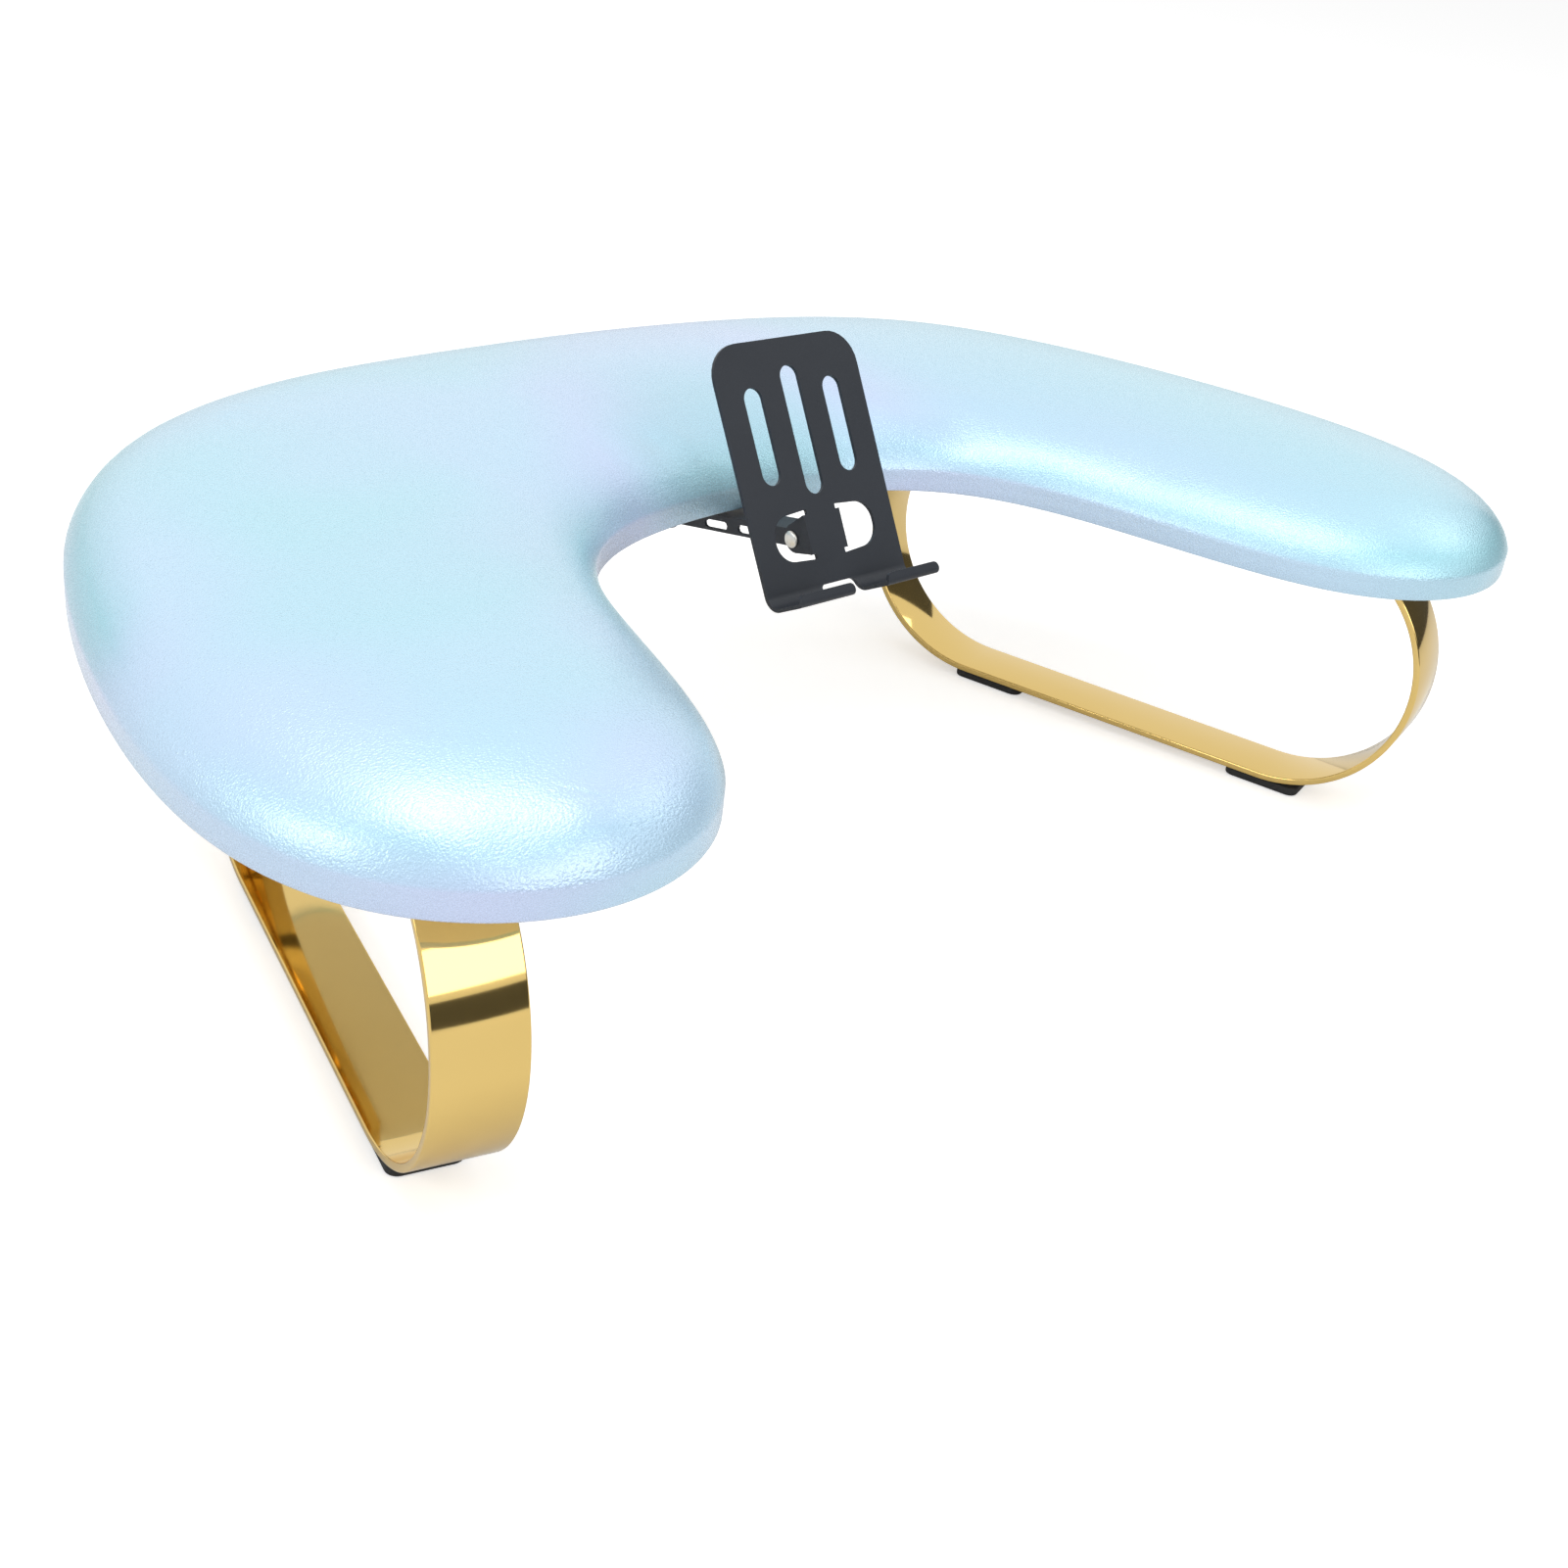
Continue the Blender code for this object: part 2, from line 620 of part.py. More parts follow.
def make_rivet(name, centre):
    seat = ear_inner + SHEET + SEAT_GAP
    crest = seat + RIVET_HEAD
    shoulder = seat + RIVET_HEAD * 0.62
    wide = RIVET_HEAD_RADIUS
    profile = [(0, crest), (wide * 0.45, crest), (wide * 0.85, shoulder), (wide, seat), (RIVET_RADIUS, seat)]
    profile += [(radius, -height) for radius, height in reversed(profile)]
    along = Matrix.Rotation(math.pi / 2, 4, "Y")
    turned(name, profile, RIVET, Matrix.Translation(centre) @ along, steps=12)


def plate_frame():
    """X along the plate's width, Y up its face and Z out of its front, from the hooks' underside."""
    up = Vector((0, math.sin(PLATE_TILT), math.cos(PLATE_TILT)))
    out = Vector((0, -math.cos(PLATE_TILT), math.sin(PLATE_TILT)))
    origin = PLATE_PIVOT - up * PIVOT_HEIGHT_ON_PLATE + out * PIVOT_BEHIND_PLATE
    return Matrix(((1, 0, 0, origin.x), (0, up.y, out.y, origin.y), (0, up.z, out.z, origin.z), (0, 0, 0, 1)))


def sheet_profile():
    """Side view of the folded plate as (forward, up): down the face, round the hook, up its lip."""
    outer = HOOK_BEND
    inner = HOOK_BEND - SHEET
    lip = LIP_BEND
    lip_inner = LIP_BEND - SHEET
    bend = (HOOK_BEND - SHEET, HOOK_BEND)
    end = (HOOK_REACH - LIP_BEND, LIP_BEND)
    plate_top = PLATE_HEIGHT + TRIM
    lip_top = LIP_HEIGHT + TRIM
    back = [(-SHEET, plate_top)] + arc(bend, outer, 180, 270, 6) + arc(end, lip, -90, 0, 4)
    face = arc(end, lip_inner, 0, -90, 3) + arc(bend, inner, 270, 180, 5)
    return back + [(HOOK_REACH, lip_top), (HOOK_REACH - SHEET, lip_top)] + face + [(0, plate_top)]


def ear_outline():
    """An ear seen from the side: X towards the front from the plate's face, Y up from the pivot."""
    root, end, radius = EAR_ROOT_HALF, EAR_END_HALF, EAR_END_HALF * 0.95
    start, tip = -SHEET / 2, -EAR_REACH
    return rounded(((start, -root, 0), (start, root, 0), (tip, end, radius), (tip, -end, radius)))


def d_hole(side):
    """The opening that an ear was folded out of, with a small relief at both ends of its fold."""
    tall, wide, relief = D_HALF_HEIGHT, D_WIDTH, D_RELIEF
    fold_end = tall - relief
    corners = (
        (-relief, -tall, 0), (wide, -tall * 0.45, tall * 0.6),
        (wide * 0.94, tall, tall * 0.75), (-relief, tall, 0),
        (-relief, fold_end, 0), (0, fold_end, 0), (0, -fold_end, 0), (-relief, -fold_end, 0),
    )
    fold = ear_inner + SHEET + TRIM
    pivot = PIVOT_HEIGHT_ON_PLATE
    return rounded([(side * (fold + x), side * y + pivot, radius) for x, y, radius in corners], 4)


def upright_slot(x, low, high):
    radius = SLOT_WIDTH / 2
    return [(x - b, a) for a, b in stadium(high - low - SLOT_WIDTH, radius, 6, ((low + high) / 2, 0.0))]


def make_phone_plate():
    frame = plate_frame()
    from_side = Matrix(((0, 0, -1, 0), (0, 1, 0, 0), (1, 0, 0, 0), (0, 0, 0, 1)))
    half, gap = PLATE_WIDTH / 2, HOOK_GAP / 2
    rough_width = PLATE_WIDTH + 20 * TRIM
    folded = sheet_profile()
    plate = extruded("phone_plate", [folded], rough_width, frame @ from_side, BLACK, math.radians(30))
    low = -HOOK_REACH
    outline = rounded(((-half, low, 0), (half, low, 0), (half, PLATE_HEIGHT, PLATE_CORNER),
                       (-half, PLATE_HEIGHT, PLATE_CORNER)), 8)
    openings = [upright_slot(0, *MIDDLE_SLOT)]
    for side in (-1, 1):
        openings.append(upright_slot(side * SLOT_SPACING, *SIDE_SLOT))
        openings.append(d_hole(side))
    face_cut = extruded("plate_face", [outline, *openings], FAR, frame)
    boolean(plate, face_cut, "INTERSECT")
    notch = rounded(((-gap, low, 0), (gap, low, 0), (gap, HOOK_GAP_HEIGHT, HOOK_GAP_CORNER),
                     (-gap, HOOK_GAP_HEIGHT, HOOK_GAP_CORNER)), 4)
    boolean(plate, extruded("hook_gap", [notch], FAR, frame))
    around = rectangle(2 * PLATE_WIDTH, 4 * HOOK_REACH, 0)
    lips = []
    for side in (-1, 1):
        a, b = sorted((side * (gap - TRIM), side * (half + TRIM)))
        top = LIP_HEIGHT
        lips.append(rounded(((a, low, 0), (b, low, 0), (b, top, LIP_CORNER), (a, top, LIP_CORNER))))
    boolean(plate, extruded("lip_corners", [around, *lips], 2 * LIP_BEND, frame @ at(z=HOOK_REACH)))
    rivet_hole = arc((-PIVOT_BEHIND_PLATE, 0), RIVET_RADIUS + HOLE_GAP, 0, 330, 11)
    for name, side in (("left", -1), ("right", 1)):
        ear = frame @ at(side * (ear_inner + SHEET / 2), PIVOT_HEIGHT_ON_PLATE) @ from_side
        boolean(plate, extruded(f"ear_{name}", [ear_outline(), rivet_hole], SHEET, ear), "UNION")


def build():
    make_leather_cover()
    make_foam_core()
    make_base_board()
    make_backing_sheet()
    for side_name in SIDES:
        make_leg_loop(side_name)
    make_leg_fasteners()
    make_holder_bracket()
    make_holder_arm()
    make_rivet("arm_rivet", ARM_PIVOT)
    make_rivet("plate_rivet", PLATE_PIVOT)
    make_phone_plate()


build()
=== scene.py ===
# Manicure hand rest: the looks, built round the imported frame. Metres, +Z up, +Y away from the bay.
import math

import bmesh
import bpy
from mathutils import Matrix, Vector
from mathutils.kdtree import KDTree


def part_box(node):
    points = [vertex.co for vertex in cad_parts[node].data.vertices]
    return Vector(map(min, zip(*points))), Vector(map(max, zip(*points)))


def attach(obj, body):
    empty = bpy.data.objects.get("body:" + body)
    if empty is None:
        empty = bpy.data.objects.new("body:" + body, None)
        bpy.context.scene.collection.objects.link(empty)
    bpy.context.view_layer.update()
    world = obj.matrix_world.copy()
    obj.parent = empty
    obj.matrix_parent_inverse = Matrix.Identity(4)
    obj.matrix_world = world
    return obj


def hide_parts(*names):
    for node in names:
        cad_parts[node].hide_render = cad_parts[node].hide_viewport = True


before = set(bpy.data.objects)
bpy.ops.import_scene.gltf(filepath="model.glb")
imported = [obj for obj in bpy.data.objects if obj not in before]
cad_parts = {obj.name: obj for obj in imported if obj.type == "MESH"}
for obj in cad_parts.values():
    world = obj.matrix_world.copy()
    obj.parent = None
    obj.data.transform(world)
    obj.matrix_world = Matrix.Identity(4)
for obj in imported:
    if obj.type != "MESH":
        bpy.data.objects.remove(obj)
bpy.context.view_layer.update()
print("frame:", len(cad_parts), "nodes")


# Working with one object at a time

sharpAngle = math.radians(35)  # edges that turn more than this stay sharp
mergeGap = 0.00001
near = 0.0001  # how close counts as the same spot
plumb = 0.99  # share of its length that an upright edge rises


def only(thing):
    if bpy.context.object and bpy.context.object.mode != "OBJECT":
        bpy.ops.object.mode_set(mode="OBJECT")
    bpy.ops.object.select_all(action="DESELECT")
    thing.select_set(True)
    bpy.context.view_layer.objects.active = thing
    return thing


def named(name):
    thing = bpy.context.object
    thing.name = name
    thing.data.name = name
    return thing


def edit(thing, edges=None, verts=None):
    # edit mode with just the edges or vertices that pass a test selected
    only(thing)
    bpy.ops.object.mode_set(mode="EDIT")
    bpy.ops.mesh.select_mode(type="EDGE" if edges else "VERT")
    bpy.ops.mesh.select_all(action="DESELECT")
    mesh = bmesh.from_edit_mesh(thing.data)
    for test, items in ((edges, mesh.edges), (verts, mesh.verts)):
        if test:
            for item in items:
                item.select_set(bool(test(item)))
    mesh.select_flush_mode()
    bmesh.update_edit_mesh(thing.data)
    return mesh


def done():
    bpy.ops.object.mode_set(mode="OBJECT")


def bakePlace(thing):
    only(thing)
    bpy.ops.object.transform_apply(location=True, rotation=True, scale=True)
    return thing


def fixNormals(thing):
    edit(thing)
    bpy.ops.mesh.select_all(action="SELECT")
    bpy.ops.mesh.remove_doubles(threshold=mergeGap)
    bpy.ops.mesh.normals_make_consistent(inside=False)
    done()


def modifier(thing, kind, **settings):
    only(thing)
    mod = thing.modifiers.new(kind.title(), kind)
    for key, value in settings.items():
        setattr(mod, key, value)
    bpy.ops.object.modifier_apply(modifier=mod.name)


def cut(thing, tool, operation="DIFFERENCE"):
    modifier(thing, "BOOLEAN", operation=operation, solver="EXACT", object=tool)
    bpy.data.objects.remove(tool, do_unlink=True)


def smooth(thing, angle=sharpAngle):
    only(thing)
    bpy.ops.object.shade_smooth_by_angle(angle=angle)


def softEdges(thing, width):
    modifier(thing, "BEVEL", width=width, segments=2, limit_method="ANGLE", angle_limit=sharpAngle)
    smooth(thing)


def block(name, low, high):
    # a cube at its size and place
    middle = [(a + b) / 2 for a, b in zip(low, high)]
    bpy.ops.mesh.primitive_cube_add(size=1, location=middle, scale=[b - a for a, b in zip(low, high)])
    return bakePlace(named(name))


def roundCorners(thing, radius, test, segments=8):
    # bevels the upright edges whose middle passes the test
    def upright(edge):
        a, b = (v.co for v in edge.verts)
        line = b - a
        return line.length > 0 and abs(line.z) > plumb * line.length and test((a + b) / 2)

    edit(thing, edges=upright)
    bpy.ops.mesh.bevel(offset=radius, offset_type="OFFSET", segments=segments, affect="EDGES")
    done()


def blank(name):
    # an object in edit mode with nothing in it yet
    bpy.ops.mesh.primitive_plane_add(size=1)
    thing = named(name)
    edit(thing)
    bpy.ops.mesh.select_all(action="SELECT")
    bpy.ops.mesh.delete(type="VERT")
    return thing, bmesh.from_edit_mesh(thing.data)


def spun(name, profile, steps):
    # turns a profile (radius, height) that starts and ends on the axis round Z
    thing, mesh = blank(name)
    dots = [mesh.verts.new((radius, 0, height)) for radius, height in profile]
    for a, b in zip(dots, dots[1:]):
        mesh.edges.new((a, b))
    for dot in dots:
        dot.select_set(True)
    mesh.select_flush(True)
    bmesh.update_edit_mesh(thing.data)
    bpy.ops.mesh.spin(steps=steps, angle=2 * math.pi, center=(0, 0, 0), axis=(0, 0, 1))
    done()
    fixNormals(thing)
    return thing


def dress(thing, material, body, slotName, *nodes):
    thing.data.materials.clear()
    thing.data.materials.append(material)
    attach(thing, body)
    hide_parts(*nodes)


# Shader maths as expressions

class Field:
    def __init__(self, graph, socket):
        self.graph = graph
        self.socket = socket

    def combine(self, operation, first, second):
        made = self.graph.node("ShaderNodeMath", {"operation": operation}, Value=first, Value_001=second)
        return made["Value"]

    def __add__(self, other):
        return self.combine("ADD", self, other)

    def __radd__(self, other):
        return self.combine("ADD", other, self)

    def __sub__(self, other):
        return self.combine("SUBTRACT", self, other)

    def __rsub__(self, other):
        return self.combine("SUBTRACT", other, self)

    def __mul__(self, other):
        return self.combine("MULTIPLY", self, other)

    def __rmul__(self, other):
        return self.combine("MULTIPLY", other, self)

    def atLeast(self, other):
        return self.combine("MAXIMUM", self, other)


class Graph:
    def __init__(self, tree):
        self.tree = tree

    def node(self, kind, settings=None, **inputs):
        # makes a node: its settings or its ramp's stops first, then the values or links of its sockets
        made = self.tree.nodes.new(kind)
        for key, value in (settings or {}).items():
            if key == "stops":
                self.setStops(made.color_ramp.elements, value)
            else:
                setattr(made, key, value)
        entries = {entry.identifier: entry for entry in made.inputs}
        for key, value in inputs.items():
            self.feed(entries[key], value)
        return {out.identifier: Field(self, out) for out in made.outputs}

    def setStops(self, elements, stops):
        while len(elements) < len(stops):
            elements.new(0.5)  # each one is placed below
        for element, (spot, color) in zip(elements, stops):
            element.position = spot
            element.color = (*color, 1) if isinstance(color, tuple) else (color, color, color, 1)

    def feed(self, entry, value):
        if isinstance(value, Field):
            self.tree.links.new(value.socket, entry)
        elif entry.type == "RGBA":
            entry.default_value = (*value, 1)
        else:
            entry.default_value = value


class Finish(Graph):
    def __init__(self, name):
        self.material = bpy.data.materials.new(name)
        self.material.use_nodes = True
        super().__init__(self.material.node_tree)
        self.shader = self.tree.nodes["Principled BSDF"]
        coords = self.node("ShaderNodeTexCoord")
        self.place = coords["Object"]
        self.normal = coords["Normal"]

    def set(self, **inputs):
        for key, value in inputs.items():
            self.feed(self.shader.inputs[key.replace("_", " ")], value)

    def axes(self, vector):
        return self.node("ShaderNodeSeparateXYZ", Vector=vector)

    def moved(self, **change):
        return self.node("ShaderNodeMapping", Vector=self.place, **change)["Vector"]

    def noise(self, scale, detail=2.0, roughness=0.5, place=None):
        return self.node("ShaderNodeTexNoise", Vector=place or self.place, Scale=scale, Detail=detail,
                         Roughness=roughness)["Fac"]

    def cells(self, scale, feature="F1", place=None):
        return self.node("ShaderNodeTexVoronoi", {"feature": feature}, Vector=place or self.place,
                         Scale=scale)["Distance"]

    def ramp(self, value, stops):
        return self.node("ShaderNodeValToRGB", {"stops": stops}, Fac=value)["Color"]

    def mix(self, share, a, b):
        return self.node("ShaderNodeMix", {"data_type": "RGBA"}, Factor_Float=share, A_Color=a,
                         B_Color=b)["Result_Color"]

    def bump(self, height, distance, strength=1.0, **under):
        return self.node("ShaderNodeBump", Strength=strength, Distance=distance, Height=height,
                         **under)["Normal"]


# Finishes

# the leather's tones chosen by which way the surface faces are painted shading and painted reflection over
# its pearl tints: darkest aqua on the slopes, lavender on the sides
pearlLook = {
    "top": (0.500, 0.712, 0.885),
    "slopeShade": (0.300, 0.600, 0.705),
    "steepShade": (0.370, 0.600, 0.725),
    "side": (0.545, 0.665, 0.840),
    "upwardForShade": ((0.00, "side"), (0.20, "side"), (0.42, "steepShade"), (0.72, "slopeShade"), (0.93, "top")),
    "lavender": (0.590, 0.650, 0.920),
    "lavenderSize": 5.5,
    "lavenderPatches": ((0.45, 0.0), (0.62, 0.80)),
    "lavenderAcross": ((0.56, 1.0), (0.70, 0.15)),  # from the left to the right of the pad
    # aqua patches and more aqua towards the right arm: painted reflection of dark surroundings and painted
    # shade, darker than the top
    "aquaReflection": (0.400, 0.740, 0.815),
    "aquaSize": 7.0,
    "aquaShift": (1.7, 0.4, 0.2),
    "aquaReflectionPatches": ((0.50, 0.0), (0.68, 0.60)),
    "aquaShadeAcross": ((0.58, 0.0), (0.72, 0.60)),
    "grain": 1500,
    "grainDepth": 0.00027,
    "grainStrength": 0.70,
    "grainDrawn": (0.72, 1.15, 1.0),
    "pores": 1.6,  # how much finer than the pebbles
    "poresShare": 0.5,
    "wobble": 24,
    "wobbleDepth": 0.0010,
    "wobbleStrength": 0.30,
    "roughness": 0.27,
    "roughnessSpread": 0.14,
    "metallic": 0.25,
    "coat": 0.55,
    "coatRoughness": 0.27,
}


def makePearl():
    look = pearlLook
    pearl = Finish("pearlLeather")
    # tones by which way the surface faces: painted shading and painted reflection, darkest on the slopes
    upwardForShade = pearl.axes(pearl.normal)["Z"]
    rightward = pearl.axes(pearl.place)["X"] + 0.5  # moved to lie between 0 and 1 for the ramps
    body = pearl.ramp(upwardForShade, [(spot, look[tone]) for spot, tone in look["upwardForShade"]])
    drift = pearl.noise(look["lavenderSize"], detail=1.5)
    lavender = pearl.ramp(drift, look["lavenderPatches"]) * pearl.ramp(rightward, look["lavenderAcross"])
    body = pearl.mix(lavender, body, look["lavender"])
    # darker aqua patches and a darker right arm: painted reflection and painted shade
    swirl = pearl.noise(look["aquaSize"], detail=1.0, place=pearl.moved(Location=look["aquaShift"]))
    aquaReflection = pearl.ramp(swirl, look["aquaReflectionPatches"]).atLeast(pearl.ramp(rightward, look["aquaShadeAcross"]))
    body = pearl.mix(aquaReflection, body, look["aquaReflection"])
    # pebbles drawn out across the hide, with finer pores between them
    drawn = pearl.moved(Scale=look["grainDrawn"])
    pebble = pearl.cells(look["grain"], "SMOOTH_F1", place=drawn)
    pores = pearl.noise(look["grain"] * look["pores"], place=drawn)
    grain = pearl.bump(pores * look["poresShare"] - pebble, look["grainDepth"], look["grainStrength"])
    wobble = pearl.noise(look["wobble"], detail=1.0)
    soft = pearl.bump(wobble, look["wobbleDepth"], look["wobbleStrength"], Normal=grain)
    smoothest = look["roughness"] - look["roughnessSpread"] / 2
    pearl.set(Base_Color=body, Metallic=look["metallic"],
              Roughness=pores * look["roughnessSpread"] + smoothest,
              Coat_Weight=look["coat"], Coat_Roughness=look["coatRoughness"], Normal=soft)
    return pearl.material


goldLook = {
    "tone": (0.77, 0.56, 0.21),
    "deep": (0.71, 0.50, 0.165),
    "cloud": 9,
    "roughness": 0.05,
    "roughnessSpread": 0.05,
    "scuffs": 160,
    "scuffsDrawn": (0.15, 1.0, 1.0),
    "ripple": 16,
    "rippleDepth": 0.0006,
    "rippleStrength": 0.25,
}


def makeGold():
    look = goldLook
    gold = Finish("mirrorGold")
    scuffs = gold.noise(look["scuffs"], detail=3.0, place=gold.moved(Scale=look["scuffsDrawn"]))
    ripple = gold.noise(look["ripple"], detail=1.5)
    cloud = gold.noise(look["cloud"], detail=3.0)
    gold.set(Base_Color=gold.mix(cloud, look["tone"], look["deep"]), Metallic=1.0,
             Roughness=scuffs * look["roughnessSpread"] + look["roughness"],
             Normal=gold.bump(ripple, look["rippleDepth"], look["rippleStrength"]))
    return gold.material


coatLook = {
    "tone": (0.021, 0.025, 0.032),
    "pale": (0.029, 0.033, 0.041),
    "cloud": 40,
    "roughness": 0.36,
    "roughnessSpread": 0.12,
    "specular": 0.26,
    "speck": 1500,
    "speckDepth": 0.00008,
    "speckStrength": 0.5,
}


def makePowderCoat():
    look = coatLook
    coat = Finish("charcoalPowderCoat")
    speck = coat.noise(look["speck"])
    coat.set(Base_Color=coat.mix(coat.noise(look["cloud"]), look["tone"], look["pale"]),
             Roughness=speck * look["roughnessSpread"] + look["roughness"],
             Specular_IOR_Level=look["specular"],
             Normal=coat.bump(speck, look["speckDepth"], look["speckStrength"]))
    return coat.material


rubberLook = {
    "tone": (0.012, 0.012, 0.013),
    "pale": (0.026, 0.026, 0.027),
    "roughness": 0.68,
    "roughnessSpread": 0.2,
    "speck": 900,
    "speckDepth": 0.0001,
    "speckStrength": 0.4,
}


def makeRubber():
    look = rubberLook
    rubber = Finish("footRubber")
    speck = rubber.noise(look["speck"], detail=3.0)
    rubber.set(Base_Color=rubber.mix(speck, look["tone"], look["pale"]),
               Roughness=speck * look["roughnessSpread"] + look["roughness"],
               Normal=rubber.bump(speck, look["speckDepth"], look["speckStrength"]))
    return rubber.material


nickelLook = {
    "tone": (0.86, 0.84, 0.78),
    "deep": (0.70, 0.68, 0.62),
    "roughness": 0.28,
    "roughnessSpread": 0.15,
    "metallic": 0.85,
    "cloud": 700,
    "cloudDepth": 0.00004,
    "cloudStrength": 0.4,
}


def makeNickel():
    look = nickelLook
    nickel = Finish("satinNickel")
    cloud = nickel.noise(look["cloud"])
    nickel.set(Base_Color=nickel.mix(cloud, look["tone"], look["deep"]), Metallic=look["metallic"],
               Roughness=cloud * look["roughnessSpread"] + look["roughness"],
               Normal=nickel.bump(cloud, look["cloudDepth"], look["cloudStrength"]))
    return nickel.material


zincLook = {
    "tone": (0.52, 0.53, 0.53),
    "pale": (0.70, 0.70, 0.67),
    "roughness": 0.26,
    "roughnessSpread": 0.2,
    "spangle": 420,
    "speck": 900,
    "speckDepth": 0.00003,
    "speckStrength": 0.4,
}


def makeZinc():
    look = zincLook
    zinc = Finish("zincPlate")
    spangle = zinc.cells(look["spangle"])
    zinc.set(Base_Color=zinc.mix(spangle, look["tone"], look["pale"]), Metallic=1.0,
             Roughness=spangle * look["roughnessSpread"] + look["roughness"],
             Normal=zinc.bump(zinc.noise(look["speck"]), look["speckDepth"], look["speckStrength"]))
    return zinc.material


clothLook = {
    "tone": (0.86, 0.85, 0.82),
    "pale": (0.95, 0.94, 0.92),
    "fibre": 1300,
    "fibreRoughness": 0.7,
    "dimple": 520,
    "dimpleShare": 0.6,
    "depth": 0.00018,
    "strength": 0.6,
}


def makeCloth():
    look = clothLook
    cloth = Finish("backingCloth")
    fibre = cloth.noise(look["fibre"], detail=4.0, roughness=look["fibreRoughness"])
    dimple = cloth.cells(look["dimple"])
    cloth.set(Base_Color=cloth.mix(fibre, look["tone"], look["pale"]), Roughness=0.93,
              Normal=cloth.bump(dimple * look["dimpleShare"] + fibre, look["depth"], look["strength"]))
    return cloth.material


foamLook = {
    "tone": (0.62, 0.57, 0.40),
    "pale": (0.86, 0.82, 0.68),
    "pores": 700,
    "poresDepth": 0.0006,
    "poresStrength": 0.8,
}


def makeFoam():
    look = foamLook
    foam = Finish("cushionFoam")
    pores = foam.cells(look["pores"])
    foam.set(Base_Color=foam.mix(pores, look["tone"], look["pale"]), Roughness=0.95,
             Normal=foam.bump(pores, look["poresDepth"], look["poresStrength"]))
    return foam.material


woodLook = {
    "tone": (0.44, 0.27, 0.13),
    "pale": (0.72, 0.53, 0.32),
    "plies": 310.0,
    "pliesTone": (0.30, 0.17, 0.08),
    "pliesShare": 0.25,
    "pliesBent": 0.4,
    "rings": 2.2,
    "ringsDetail": 5.0,
    "ringsRoughness": 0.6,
    "ringsDrawn": (4.0, 60.0, 4.0),
    "ringsDepth": 0.0003,
    "ringsStrength": 0.5,
    "roughness": 0.6,
    "roughnessSpread": 0.15,
}


def makePlywood():
    look = woodLook
    wood = Finish("plywood")
    rings = wood.noise(look["rings"], look["ringsDetail"], look["ringsRoughness"],
                       wood.moved(Scale=look["ringsDrawn"]))
    plies = wood.node("ShaderNodeTexWave", {"bands_direction": "Z"}, Vector=wood.place, Scale=look["plies"],
                      Distortion=look["pliesBent"])["Fac"]
    face = wood.mix(rings, look["tone"], look["pale"])
    wood.set(Base_Color=wood.mix(plies * look["pliesShare"], face, look["pliesTone"]),
             Roughness=rings * look["roughnessSpread"] + look["roughness"],
             Normal=wood.bump(rings, look["ringsDepth"], look["ringsStrength"]))
    return wood.material


finishes = {
    "pearl": makePearl(),
    "gold": makeGold(),
    "coat": makePowderCoat(),
    "rubber": makeRubber(),
    "nickel": makeNickel(),
    "zinc": makeZinc(),
    "cloth": makeCloth(),
    "foam": makeFoam(),
    "plywood": makePlywood(),
}
nodeFinish = {
    "backing_sheet": "cloth", "foam_core": "foam", "base_board": "plywood", "foot_pad": "rubber",
    "tee_nut": "zinc", "bracket_screw": "zinc", "leg_screw": "gold", "holder": "coat", "leg_loop": "gold",
    "leather_cover": "pearl", "phone_plate": "coat", "arm_rivet": "nickel", "plate_rivet": "nickel",
}
for nodeName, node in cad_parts.items():
    kind = next(key for key in nodeFinish if nodeName.startswith(key))
    for slot in node.material_slots:
        slot.material = finishes[nodeFinish[kind]]
print("finishes:", len(finishes))


# Padded cover

pad = {
    "halfPlan": ((0.273, 1.007), (0.712, 0.832), (0.925, 0.209), (1.030, -0.496), (0.950, -0.892),
                 (0.731, -1.058), (0.499, -0.867), (0.418, -0.192), (0.244, 0.127)),
    "halfSize": (0.304, 0.189),
    "planSteps": 20,
    "seam": 0.1396,
    "hem": 0.1301,
    "rise": 0.0264,
    "reach": (0.076, 0.092),  # how far in the dome rises: left lobe and right arm
    "reachFrom": -0.14,
    "reachOver": 0.12,
    "power": 2.45,
    "lead": 0.0016,  # how far outside the seam the dome would start
    "waves": (
        # place, breadth, rise
        (-0.2320, -0.1800, 0.011, 0.0013),
        (-0.2560, -0.1760, 0.012, -0.0011),
        (-0.2800, -0.1500, 0.016, 0.0007),
        (-0.0330, 0.0400, 0.007, -0.0012),
        (-0.0200, 0.0380, 0.006, 0.0007),
        (0.0840, 0.0300, 0.014, 0.0013),
        (0.0600, 0.0420, 0.012, -0.0010),
        (0.1040, 0.0050, 0.012, -0.0012),
        (0.1260, -0.0300, 0.014, 0.0008),
        (0.1500, -0.0700, 0.014, -0.0007),
        (0.2500, -0.1700, 0.012, 0.0009),
    ),
    "rings": (0.0005, 0.0007, 0.0011, 0.0018, 0.0027, 0.0036, 0.0044),
    "tip": ((1.012, -0.450), (0.700, -0.985)),
    "fieldFrom": 0.92,  # share of the rings' depth past which a point is on the innermost ring
    "across": 39,
    "capSpan": 10,
    "smoothFrom": 0.040,
    "smoothRounds": 40,
    "calm": 0.006,  # distance from the seam over which the waves fade in
    "sideRings": (0.0012, 0.0045),  # below the seam
    "hemRound": 0.0010,
    "hemMiddle": 0.3,  # share of the hem's radius at the middle of its turn
    "hemTurn": 0.0135,
    "wall": 0.0010,
}


